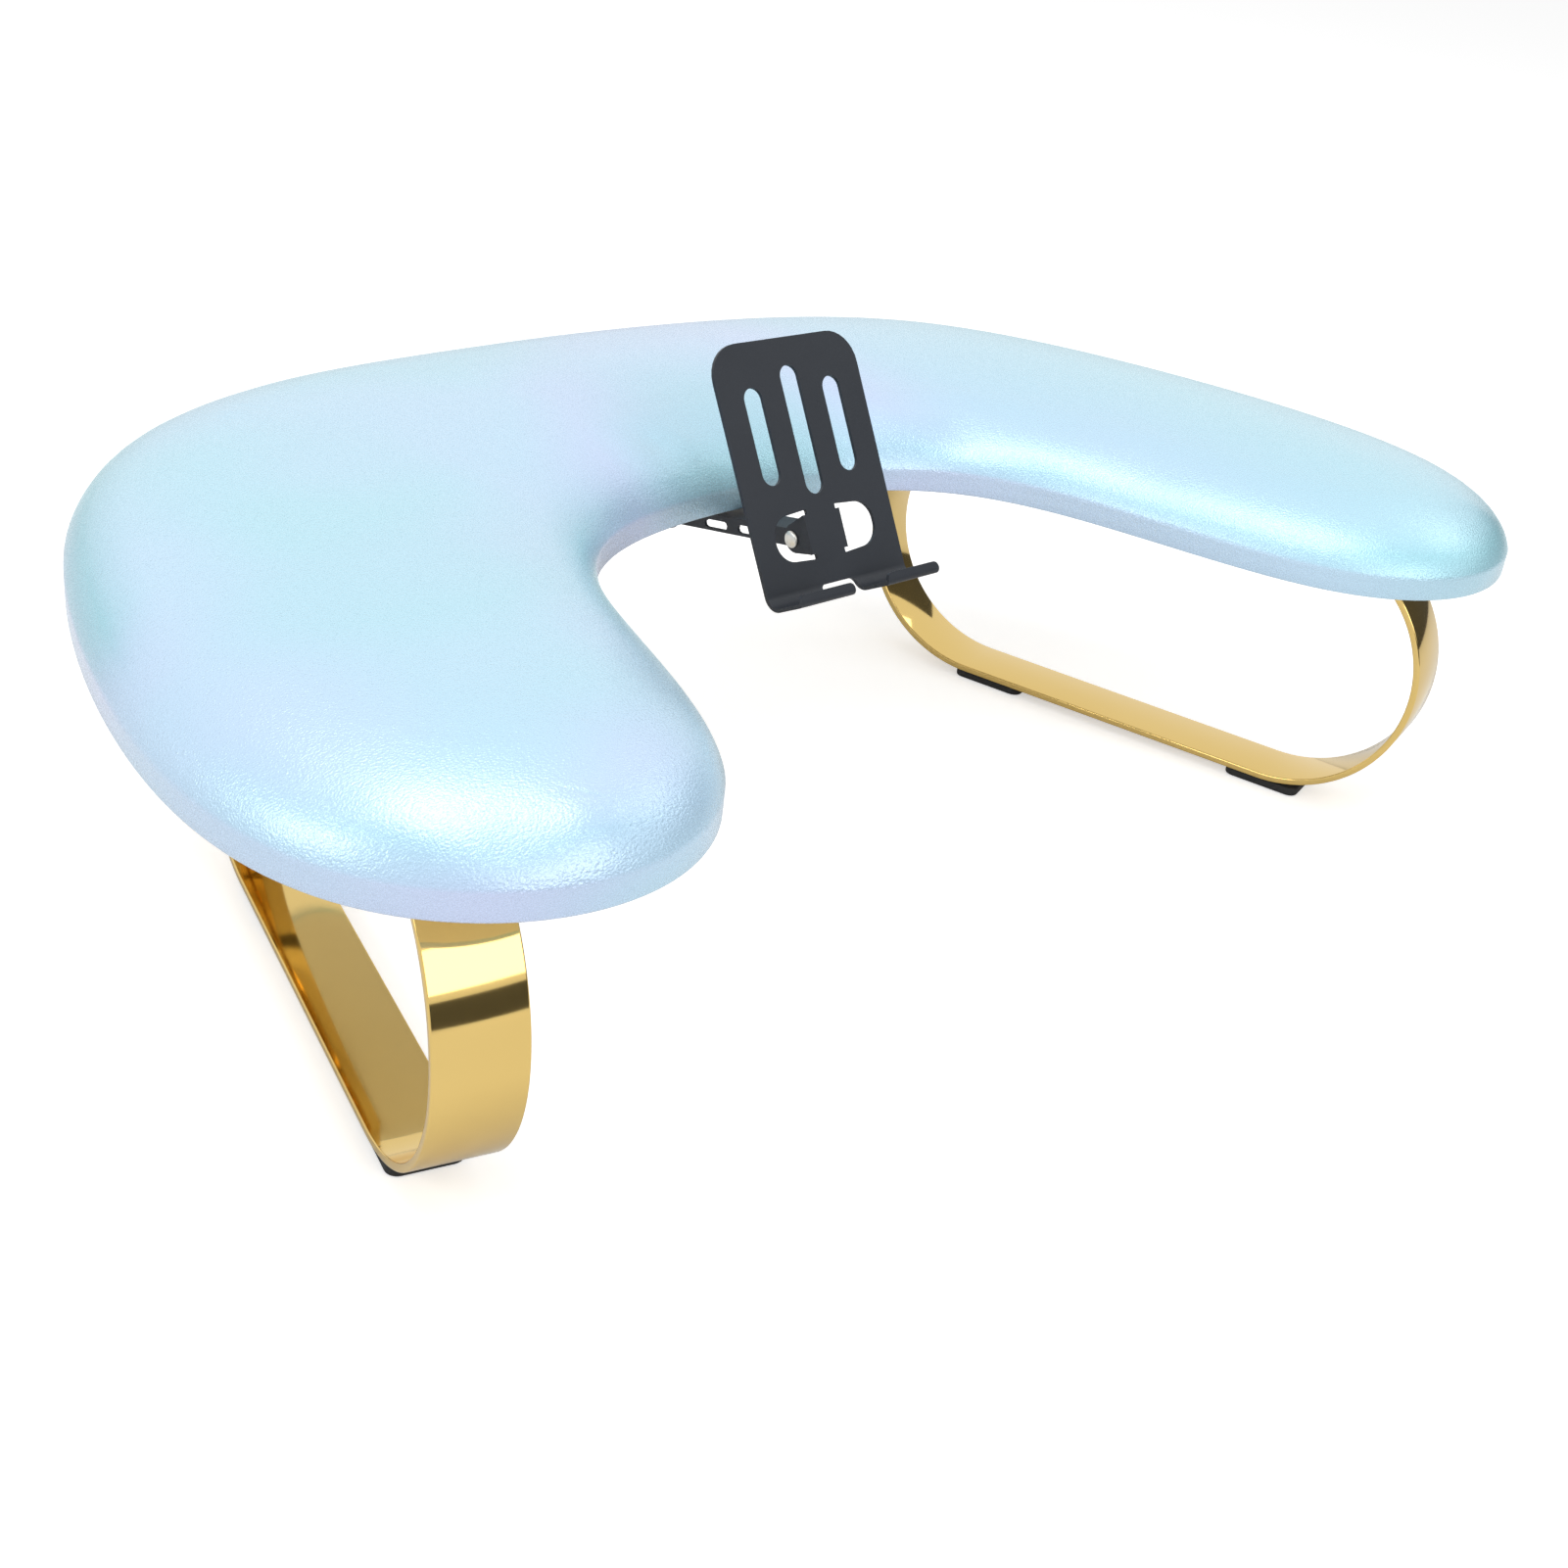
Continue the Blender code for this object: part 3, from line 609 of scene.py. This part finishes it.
def padOutline():
    # the plan as an even curve through its control points
    sx, sy = pad["halfSize"]
    half = [(x * sx, y * sy) for x, y in pad["halfPlan"]]
    control = half + [(-x, y) for x, y in reversed(half)]
    bpy.ops.curve.primitive_nurbs_circle_add()
    loop = named("padCover")
    spline = loop.data.splines[0]
    spline.points.add(len(control) - len(spline.points))
    for point, (x, y) in zip(spline.points, control):
        point.co = (x, y, pad["seam"], 1)
    spline.use_bezier_u = False
    spline.use_endpoint_u = False
    spline.order_u = 4
    spline.resolution_u = pad["planSteps"]
    only(loop)
    bpy.ops.object.convert(target="MESH")
    return bpy.context.object


class Edge:
    # distance from the plan's edge, and the way in from it
    def __init__(self, thing):
        ring = [v.co.xy for v in thing.data.vertices]
        link = {}
        for edge in thing.data.edges:
            a, b = edge.vertices
            link.setdefault(a, []).append(b)
            link.setdefault(b, []).append(a)
        order, last, here = [0], None, 0
        while len(order) < len(ring):
            last, here = here, next(n for n in link[here] if n != last)
            order.append(here)
        self.ring = [ring[i] for i in order]
        area = sum(a.x * b.y - b.x * a.y for a, b in zip(self.ring, self.ring[1:] + self.ring[:1]))
        if area < 0:
            self.ring.reverse()
        self.tree = KDTree(len(self.ring))
        for i, spot in enumerate(self.ring):
            self.tree.insert((spot.x, spot.y, 0), i)
        self.tree.balance()

    def distance(self, co):
        i = self.tree.find((co.x, co.y, 0))[1]
        gaps = []
        for a, b in ((i - 1, i), (i, (i + 1) % len(self.ring))):
            start, line = self.ring[a], self.ring[b] - self.ring[a]
            share = min(1.0, max(0.0, (co.xy - start).dot(line) / line.length_squared))
            gaps.append((co.xy - start - line * share).length)
        return min(gaps)

    def station(self, co):
        # the nearest place on the edge and the way in from it
        i = self.tree.find((co.x, co.y, 0))[1]
        along = self.ring[(i + 1) % len(self.ring)] - self.ring[i - 1]
        return self.ring[i], Vector((-along.y, along.x)).normalized()


def crown(co, distance):
    # a rounded dome that meets the side at a crease, fuller on the left lobe
    share = min(1.0, max(0.0, (co.x - pad["reachFrom"]) / pad["reachOver"]))
    leftReach, rightReach = pad["reach"]
    reach = leftReach + (rightReach - leftReach) * share * share * (3 - 2 * share)

    def dome(part):
        return (1 - (1 - min(1.0, part)) ** pad["power"]) ** (1 / pad["power"])

    lead = pad["lead"]
    start = dome(lead / (reach + lead))
    return pad["rise"] * (dome((distance + lead) / (reach + lead)) - start) / (1 - start)


def waves(co, distance):
    # where the covering is pulled: hollows and swellings, all flat again at the seam
    height = 0
    for x, y, breadth, rise in pad["waves"]:
        away = ((co.x - x) ** 2 + (co.y - y) ** 2) / breadth ** 2
        height += rise * math.exp(-away)
    return height * min(1.0, distance / pad["calm"])


def drawRing(rim, inward, height):
    # a new ring of edges from the selected one: so far in from the plan's edge, at a height
    bpy.ops.mesh.extrude_edges_move(TRANSFORM_OT_translate={"value": (0, 0, 0)})
    mesh = bmesh.from_edit_mesh(bpy.context.object.data)
    for vert in mesh.verts:
        if vert.select:
            spot, way = rim.station(vert.co)
            vert.co = (*(spot + way * inward), height)
    bmesh.update_edit_mesh(bpy.context.object.data)


def makePadCover():
    cover = padOutline()
    rim = Edge(cover)
    edit(cover)
    bpy.ops.mesh.select_all(action="SELECT")
    inset = 0
    for step in pad["rings"]:
        inset += step
        drawRing(rim, inset, pad["seam"])
    done()
    # the field inside the rings: bridged from the outer side to the bay, with a cap at each tip
    tipLines = [[Vector((side * x * pad["halfSize"][0], y * pad["halfSize"][1])) for x, y in pad["tip"]]
                for side in (-1, 1)]

    def atTip(co):
        return any((co.xy - a).cross(b - a) * a.x < 0 for a, b in tipLines)

    fieldEdge = inset * pad["fieldFrom"]
    inner = {v.index for v in cover.data.vertices if rim.distance(v.co) > fieldEdge}
    edit(cover, edges=lambda e: all(v.index in inner for v in e.verts)
         and not atTip((e.verts[0].co + e.verts[1].co) / 2))
    bpy.ops.mesh.bridge_edge_loops(number_cuts=pad["across"], interpolation="LINEAR")
    for side in (-1, 1):
        edit(cover, edges=lambda e: e.is_boundary and e.verts[0].co.x * side > 0
             and rim.distance((e.verts[0].co + e.verts[1].co) / 2) > fieldEdge)
        bpy.ops.mesh.fill_grid(span=pad["capSpan"], use_interp_simple=True)
    mesh = edit(cover)
    for vert in mesh.verts:
        gap = rim.distance(vert.co)
        vert.co.z = pad["seam"] + crown(vert.co, gap) + waves(vert.co, gap)
    bmesh.update_edit_mesh(cover.data)
    edit(cover, verts=lambda v: rim.distance(v.co) > pad["smoothFrom"])
    bpy.ops.mesh.vertices_smooth(factor=0.5, repeat=pad["smoothRounds"], xaxis=False, yaxis=False, zaxis=True)
    # the straight side, then the hem rounded and turned under
    turn, curl = pad["hemTurn"], pad["hemRound"]
    edit(cover, edges=lambda e: e.is_boundary)
    midCurl = curl * pad["hemMiddle"]
    for drop in pad["sideRings"]:
        drawRing(rim, 0, pad["seam"] - drop)
    for inward, rise in ((0, curl), (midCurl, midCurl), (curl, 0), (turn / 2, 0), (turn, 0)):
        drawRing(rim, inward, pad["hem"] + rise)
    done()
    fixNormals(cover)
    modifier(cover, "SOLIDIFY", thickness=pad["wall"], offset=-1, use_even_offset=True)
    only(cover)
    bpy.ops.object.shade_smooth()
    return cover


padCover = makePadCover()
dress(padCover, finishes["pearl"], "rest", "leather", "leather_cover")
print("pad cover:", len(padCover.data.polygons), "faces")


# Leg loops

leg = {
    "bar": 0.003,
    "width": 0.030,
    "edge": 0.0006,
    "bottom": 0.0043,
    "top": 0.1287,
    "length": 0.281,
    "toeOut": math.radians(15.3),
    "middle": (0.216, -0.0280),
    "arcSteps": 56,
}


def toeAngle(side):
    # which way a loop's front end points, on the left (-1) or right (1)
    return math.atan2(-math.cos(leg["toeOut"]), side * math.sin(leg["toeOut"]))


def makeLegLoop(name, side):
    radius = (leg["top"] - leg["bottom"]) / 2
    straight = leg["length"] - 2 * radius
    high = (leg["top"] + leg["bottom"]) / 2
    # the bar's section stands across the rear end of the top straight, and is then drawn round the loop
    bpy.ops.mesh.primitive_plane_add(size=1, location=(-straight / 2, 0, high + radius - leg["bar"] / 2),
                                     rotation=(0, math.pi / 2, 0))
    loop = named(name)
    loop.scale = (leg["bar"], leg["width"], 1)
    bakePlace(loop)
    edit(loop)
    bpy.ops.mesh.select_all(action="SELECT")
    bpy.ops.mesh.bevel(offset=leg["edge"], segments=3, affect="VERTICES")
    bpy.ops.mesh.select_all(action="SELECT")
    bpy.ops.mesh.delete(type="ONLY_FACE")
    bpy.ops.mesh.select_all(action="SELECT")
    for end in (1, -1):
        bpy.ops.mesh.extrude_edges_move(TRANSFORM_OT_translate={"value": (end * straight, 0, 0)})
        bpy.ops.mesh.spin(steps=leg["arcSteps"], angle=-math.pi, center=(end * straight / 2, 0, high),
                          axis=(0, 1, 0))
    done()
    fixNormals(loop)
    loop.rotation_euler.z = toeAngle(side)
    loop.location = (side * leg["middle"][0], leg["middle"][1], 0)
    bakePlace(loop)
    smooth(loop)
    return loop


for sideName, side in (("left", -1), ("right", 1)):
    loop = makeLegLoop("legLoop_" + sideName, side)
    dress(loop, finishes["gold"], "rest", "gold", "leg_loop_" + sideName)
print("leg loops: 2")


# Feet

foot = {"length": 0.036, "width": 0.0265, "corner": 0.0045, "cornerSteps": 6, "edge": 0.0007}


def makeFoot(name, centre, high, angle):
    halfLong, halfWide = foot["length"] / 2, foot["width"] / 2
    sole = block(name, (-halfLong, -halfWide, 0), (halfLong, halfWide, high))
    roundCorners(sole, foot["corner"], lambda spot: True, foot["cornerSteps"])
    softEdges(sole, foot["edge"])
    sole.rotation_euler.z = angle
    sole.location = centre
    return bakePlace(sole)


for nodeName in sorted(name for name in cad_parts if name.startswith("foot_pad")):
    low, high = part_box(nodeName)
    middle = (low + high) / 2
    side = 1 if middle.x > 0 else -1
    rubberFoot = makeFoot(nodeName.replace("foot_pad", "foot"), (middle.x, middle.y, low.z),
                          high.z - low.z, toeAngle(side))
    dress(rubberFoot, finishes["rubber"], "rest", "rubber", nodeName)
print("feet: 4")


# Phone plate, cut flat and then folded

plate = {
    "sheet": 0.0015,
    "width": 0.0742,
    "height": 0.1023,
    "corner": 0.0135,
    "tilt": math.radians(29.8),
    "pivot": (0.0, -0.01714, 0.13310),
    "pivotUp": 0.0261,
    "pivotBehind": 0.0099,
    "bend": 0.0066,
    "reach": 0.0190,
    "lipBend": 0.0022,
    "lip": 0.0048,
    "lipCorner": 0.0026,
    "gap": 0.0180,
    "gapHigh": 0.0061,
    "gapCorner": 0.0022,
    "slot": 0.0092,
    "slotEvery": 0.0204,
    "middleSlot": (0.0410, 0.0915),
    "sideSlot": (0.0472, 0.0850),
    "dHigh": 0.0098,
    "dWide": 0.0168,
    "dFar": 0.0084,
    "dBow": 0.0076,
    "dRelief": 0.0020,
    "earInner": 0.0080,
    "earReach": 0.0142,
    "earRoot": 0.0078,
    "earEnd": 0.0047,
    "hole": 0.0018,
    "holeDepth": 0.01,
    "edge": 0.00022,
    "slotEnd": 0.998,  # share of half the slot's width, so that the two roundings stay apart
    "dCorner": 0.0005,
    "dInner": 0.0003,
    "earOverlap": 0.6,  # share of the sheet
    "earRound": 0.95,  # share of half the ear's end
    "bendLines": 10,
    "toolDepth": 0.02,
}


def foldPath():
    # the stretches of the sheet's middle line below the flat face: (length, turn)
    half = plate["sheet"] / 2
    bend, lip = plate["bend"] - half, plate["lipBend"] - half
    shelf = plate["reach"] - plate["lipBend"] - (plate["bend"] - plate["sheet"])
    return ((bend * math.pi / 2, bend), (shelf, None), (lip * math.pi / 2, lip),
            (plate["lip"] - plate["lipBend"], None))


def folded(up, through):
    # where a point of the flat sheet goes: out of the face and up it
    half = plate["sheet"] / 2
    spot = Vector((-half, plate["bend"]))
    below = -up
    if below <= 0:
        return spot + Vector((through, up))
    angle = -math.pi / 2
    for length, radius in foldPath():
        run = min(below, length)
        heading = Vector((math.cos(angle), math.sin(angle)))
        if radius:
            centre = spot + Vector((-heading.y, heading.x)) * radius
            turn = run / radius
            arm = spot - centre
            arm.rotate(Matrix.Rotation(turn, 2))
            spot = centre + arm
            angle += turn
        else:
            spot = spot + heading * run
        below -= run
        if below <= 0:
            break
    heading = Vector((math.cos(angle), math.sin(angle)))
    return spot + Vector((-heading.y, heading.x)) * through


def flatSheet(name, corners, thick):
    # a flat sheet from corners (x, y, radius), with each corner rounded
    sheet, mesh = blank(name)
    dots = [mesh.verts.new((x, y, -thick / 2)) for x, y, radius in corners]
    mesh.faces.new(dots).select_set(True)
    bmesh.update_edit_mesh(sheet.data)
    bpy.ops.mesh.extrude_region_move(TRANSFORM_OT_translate={"value": (0, 0, thick)})
    done()
    fixNormals(sheet)
    for x, y, radius in corners:
        if radius:
            roundCorners(sheet, radius, lambda spot, x=x, y=y: (spot.xy - Vector((x, y))).length < near)
    return sheet


def slotTool(x, low, high):
    half = plate["slot"] / 2
    left, right, corner = x - half, x + half, half * plate["slotEnd"]
    corners = ((left, low, corner), (right, low, corner), (right, high, corner), (left, high, corner))
    return flatSheet("slotTool", corners, plate["toolDepth"])


def dTool(side):
    tall, wide, relief = plate["dHigh"], plate["dWide"], plate["dRelief"]
    fold = plate["earInner"] + plate["sheet"]
    up = plate["pivotUp"] - plate["bend"]
    notch = tall - relief
    far, bow = plate["dFar"], plate["dBow"]
    corner, inner = plate["dCorner"], plate["dInner"]
    corners = ((-relief, -tall, corner), (wide, -far, bow), (wide, far, bow), (-relief, tall, corner),
               (-relief, notch, inner), (0, notch, 0), (0, -notch, 0), (-relief, -notch, inner))
    placed = [(side * (fold + x), side * y + up, radius) for x, y, radius in corners]
    return flatSheet("dTool", placed, plate["toolDepth"])


def makePlateEar(side):
    # seen from the side: X out of the face, Y up from the pivot, and then stood up across the plate
    root, end, reach = plate["earRoot"], plate["earEnd"], plate["earReach"]
    start = -plate["sheet"] * plate["earOverlap"]
    corner = end * plate["earRound"]
    corners = ((start, -root, 0), (start, root, 0), (-reach, end, corner), (-reach, -end, corner))
    ear = flatSheet("ear", corners, plate["sheet"])
    bpy.ops.mesh.primitive_cylinder_add(vertices=32, radius=plate["hole"], depth=plate["holeDepth"],
                                        location=(-plate["pivotBehind"], 0, 0))
    cut(ear, bpy.context.object)
    ear.data.transform(Matrix(((0, 0, 1, side * (plate["earInner"] + plate["sheet"] / 2)),
                               (0, 1, 0, plate["pivotUp"]), (1, 0, 0, 0), (0, 0, 0, 1))))
    return ear


def plateMatrix():
    up = Vector((0, math.sin(plate["tilt"]), math.cos(plate["tilt"])))
    out = Vector((0, -math.cos(plate["tilt"]), math.sin(plate["tilt"])))
    origin = Vector(plate["pivot"]) - up * plate["pivotUp"] + out * plate["pivotBehind"]
    return Matrix(((1, 0, 0, origin.x), (0, up.y, out.y, origin.y), (0, up.z, out.z, origin.z), (0, 0, 0, 1)))


def makePhonePlate():
    # the flat sheet's Y starts where the fold starts, and its Z runs through the sheet
    half, gap, bend = plate["width"] / 2, plate["gap"] / 2, plate["bend"]
    flatLow = -sum(length for length, radius in foldPath())
    top = plate["height"] - bend
    lipCorner = plate["lipCorner"]
    corner, gapCorner = plate["corner"], plate["gapCorner"]
    corners = ((-half, flatLow, lipCorner), (half, flatLow, lipCorner),
               (half, top, corner), (-half, top, corner))
    sheet = flatSheet("phonePlate", corners, plate["sheet"])
    notchTop, notchLow = plate["gapHigh"] - bend, 2 * flatLow
    corners = ((-gap, notchLow, 0), (gap, notchLow, 0),
               (gap, notchTop, gapCorner), (-gap, notchTop, gapCorner))
    cut(sheet, flatSheet("notchTool", corners, plate["toolDepth"]))
    roundCorners(sheet, lipCorner,
                 lambda spot: abs(abs(spot.x) - gap) < near and abs(spot.y - flatLow) < near)
    cut(sheet, slotTool(0, *(y - bend for y in plate["middleSlot"])))
    for side in (-1, 1):
        cut(sheet, slotTool(side * plate["slotEvery"], *(y - bend for y in plate["sideSlot"])))
        cut(sheet, dTool(side))
    softEdges(sheet, plate["edge"])
    # lines across the sheet where it bends
    edit(sheet)
    reach = 0
    for length, radius in foldPath():
        steps = plate["bendLines"] if radius else 1
        for i in range(steps + 1):
            bpy.ops.mesh.select_all(action="SELECT")
            bpy.ops.mesh.bisect(plane_co=(0, -reach - length * i / steps, 0), plane_no=(0, 1, 0))
        reach += length
    done()
    for vert in sheet.data.vertices:
        out, up = folded(vert.co.y, vert.co.z)
        vert.co = (vert.co.x, up, out)
    for side in (-1, 1):
        ear = makePlateEar(side)
        softEdges(ear, plate["edge"])
        cut(sheet, ear, "UNION")
    sheet.data.transform(plateMatrix())
    fixNormals(sheet)
    smooth(sheet)
    modifier(sheet, "WEIGHTED_NORMAL", weight=100, keep_sharp=True)
    return sheet


phonePlate = makePhonePlate()
dress(phonePlate, finishes["coat"], "plate", "black", "phone_plate")
print("phone plate:", len(phonePlate.data.polygons), "faces")


# Rivets

rivet = {
    "radius": 0.0015,
    "head": 0.0034,
    "headHigh": 0.0014,
    "headRim": 0.0004,
    "domeSteps": 8,
    "seat": 0.0098,
    "turnSteps": 32,
    "sharp": math.radians(40),
}


def makeRivet(name, centre):
    seat, head, rim = rivet["seat"], rivet["head"], rivet["headRim"]
    angles = [math.radians(90 * i / rivet["domeSteps"]) for i in range(rivet["domeSteps"] + 1)]
    dome = [(head * math.sin(a), seat + rim + (rivet["headHigh"] - rim) * math.cos(a)) for a in angles]
    upper = dome + [(head, seat), (rivet["radius"], seat)]
    piece = spun(name, upper + [(r, -z) for r, z in reversed(upper)], rivet["turnSteps"])
    piece.data.transform(Matrix.Translation(centre) @ Matrix.Rotation(math.pi / 2, 4, "Y"))
    smooth(piece, rivet["sharp"])
    return piece


for name, body, node in (("plateRivet", "arm", "plate_rivet"), ("armRivet", "rest", "arm_rivet")):
    low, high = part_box(node)
    dress(makeRivet(name, (low + high) / 2), finishes["nickel"], body, "nickel", node)
print("rivets: 2")


# Studio: floor, lights, cards and camera

studio = {
    "world": 0.49,
    "floorSize": 12,
    "floorDrop": 0.0002,
    "floorTone": 0.84,
    "floorGlow": (0.52, 0.05),  # added for the camera, and for what mirrors it
    "aim": (0.0, 0.0, 0.12),
    "lamps": (
        # name, place, size, watts
        ("topBox", (-0.38, -0.10, 2.20), (1.45, 1.25), 21),
        ("frontBox", (-0.05, -1.90, 1.08), (1.60, 0.90), 11),
        ("sideBox", (1.70, -0.60, 1.70), (0.80, 0.60), 3),
        ("leftBox", (-1.95, 0.30, 1.20), (1.00, 0.60), 10),
    ),
    "cards": (
        # name, place, width, height, turn about Z in degrees
        ("frontCard", (0.30, -1.90, 0.24), 2.8, 0.48, 0),
        ("rightCard", (2.10, -0.85, 0.50), 2.3, 1.00, 90),
    ),
    "cardTone": 0.11,
}


def makeWorld():
    world = bpy.data.worlds.new("studio")
    bpy.context.scene.world = world
    world.use_nodes = True
    world.node_tree.nodes.clear()
    sky = Graph(world.node_tree)
    rays = sky.node("ShaderNodeLightPath")
    seen = rays["Is Camera Ray"].atLeast(rays["Is Glossy Ray"]).atLeast(rays["Is Transmission Ray"])
    soft = sky.node("ShaderNodeBackground", Color=(1, 1, 1), Strength=studio["world"])["Background"]
    plain = sky.node("ShaderNodeBackground", Color=(1, 1, 1), Strength=1.0)["Background"]
    both = sky.node("ShaderNodeMixShader", Fac=seen, Shader=soft, Shader_001=plain)["Shader"]
    sky.node("ShaderNodeOutputWorld", Surface=both)


def makeFloor():
    bpy.ops.mesh.primitive_plane_add(size=studio["floorSize"], location=(0, 0, -studio["floorDrop"]))
    floor = bakePlace(named("studioFloor"))
    paper = Finish("paperFloor")
    paper.set(Base_Color=[studio["floorTone"]] * 3, Roughness=0.9, Specular_IOR_Level=0.0)
    rays = paper.node("ShaderNodeLightPath")
    toCamera, toMirrors = studio["floorGlow"]
    strength = rays["Is Camera Ray"] * toCamera + rays["Is Glossy Ray"] * toMirrors
    glow = paper.node("ShaderNodeEmission", Strength=strength)["Emission"]
    plain = Field(paper, paper.shader.outputs[0])
    both = paper.node("ShaderNodeAddShader", Shader=plain, Shader_001=glow)["Shader"]
    paper.feed(paper.tree.nodes["Material Output"].inputs["Surface"], both)
    floor.data.materials.append(paper.material)


def makeLamps():
    for name, place, size, watts in studio["lamps"]:
        bpy.ops.object.light_add(type="AREA", location=place)
        lamp = bpy.context.object
        lamp.name = name
        lamp.data.shape = "RECTANGLE"
        lamp.data.size, lamp.data.size_y = size
        lamp.data.energy = watts
        lamp.visible_camera = False
        aim = Vector(studio["aim"]) - Vector(place)
        lamp.rotation_euler = aim.to_track_quat("-Z", "Y").to_euler()


camera = {
    "place": (-0.5394, -0.5519, 0.4319),
    "yaw": 0.8451,
    "pitch": 0.4973,
    "roll": 0.1487,
    "lens": 47.16,
    "shift": (-0.0600, 0.0101),
    "sensor": 36,
    "clip": (0.01, 50),
}


def makeCamera():
    yaw, pitch, roll = camera["yaw"], camera["pitch"], camera["roll"]
    ahead = Vector((math.sin(yaw) * math.cos(pitch), math.cos(yaw) * math.cos(pitch), -math.sin(pitch)))
    level = ahead.cross(Vector((0, 0, 1))).normalized()
    upright = level.cross(ahead)
    right = level * math.cos(roll) + upright * math.sin(roll)
    up = upright * math.cos(roll) - level * math.sin(roll)
    bpy.ops.object.camera_add(location=camera["place"])
    eye = bpy.context.object
    eye.rotation_euler = Matrix((right, up, -ahead)).transposed().to_euler()
    eye.data.sensor_width = camera["sensor"]
    eye.data.lens = camera["lens"]
    eye.data.shift_x, eye.data.shift_y = camera["shift"]
    eye.data.clip_start, eye.data.clip_end = camera["clip"]
    bpy.context.scene.camera = eye


def makeCards():
    # dark boards low round the set, there only for what the metal mirrors
    board = Finish("darkBoard")
    board.set(Base_Color=[studio["cardTone"]] * 3, Roughness=1.0, Specular_IOR_Level=0.0)
    for name, place, width, height, turn in studio["cards"]:
        standing = (math.pi / 2, 0, math.radians(turn))
        bpy.ops.mesh.primitive_plane_add(size=1, location=place, rotation=standing)
        card = named(name)
        card.scale = (width, height, 1)
        bakePlace(card)
        card.data.materials.append(board.material)
        card.visible_camera = False
        card.visible_diffuse = False
        card.visible_shadow = False
        card.visible_transmission = False


makeWorld()
makeFloor()
makeLamps()
makeCards()
makeCamera()
bpy.context.scene.view_settings.view_transform = "Standard"
print("studio: floor, lamps and camera")
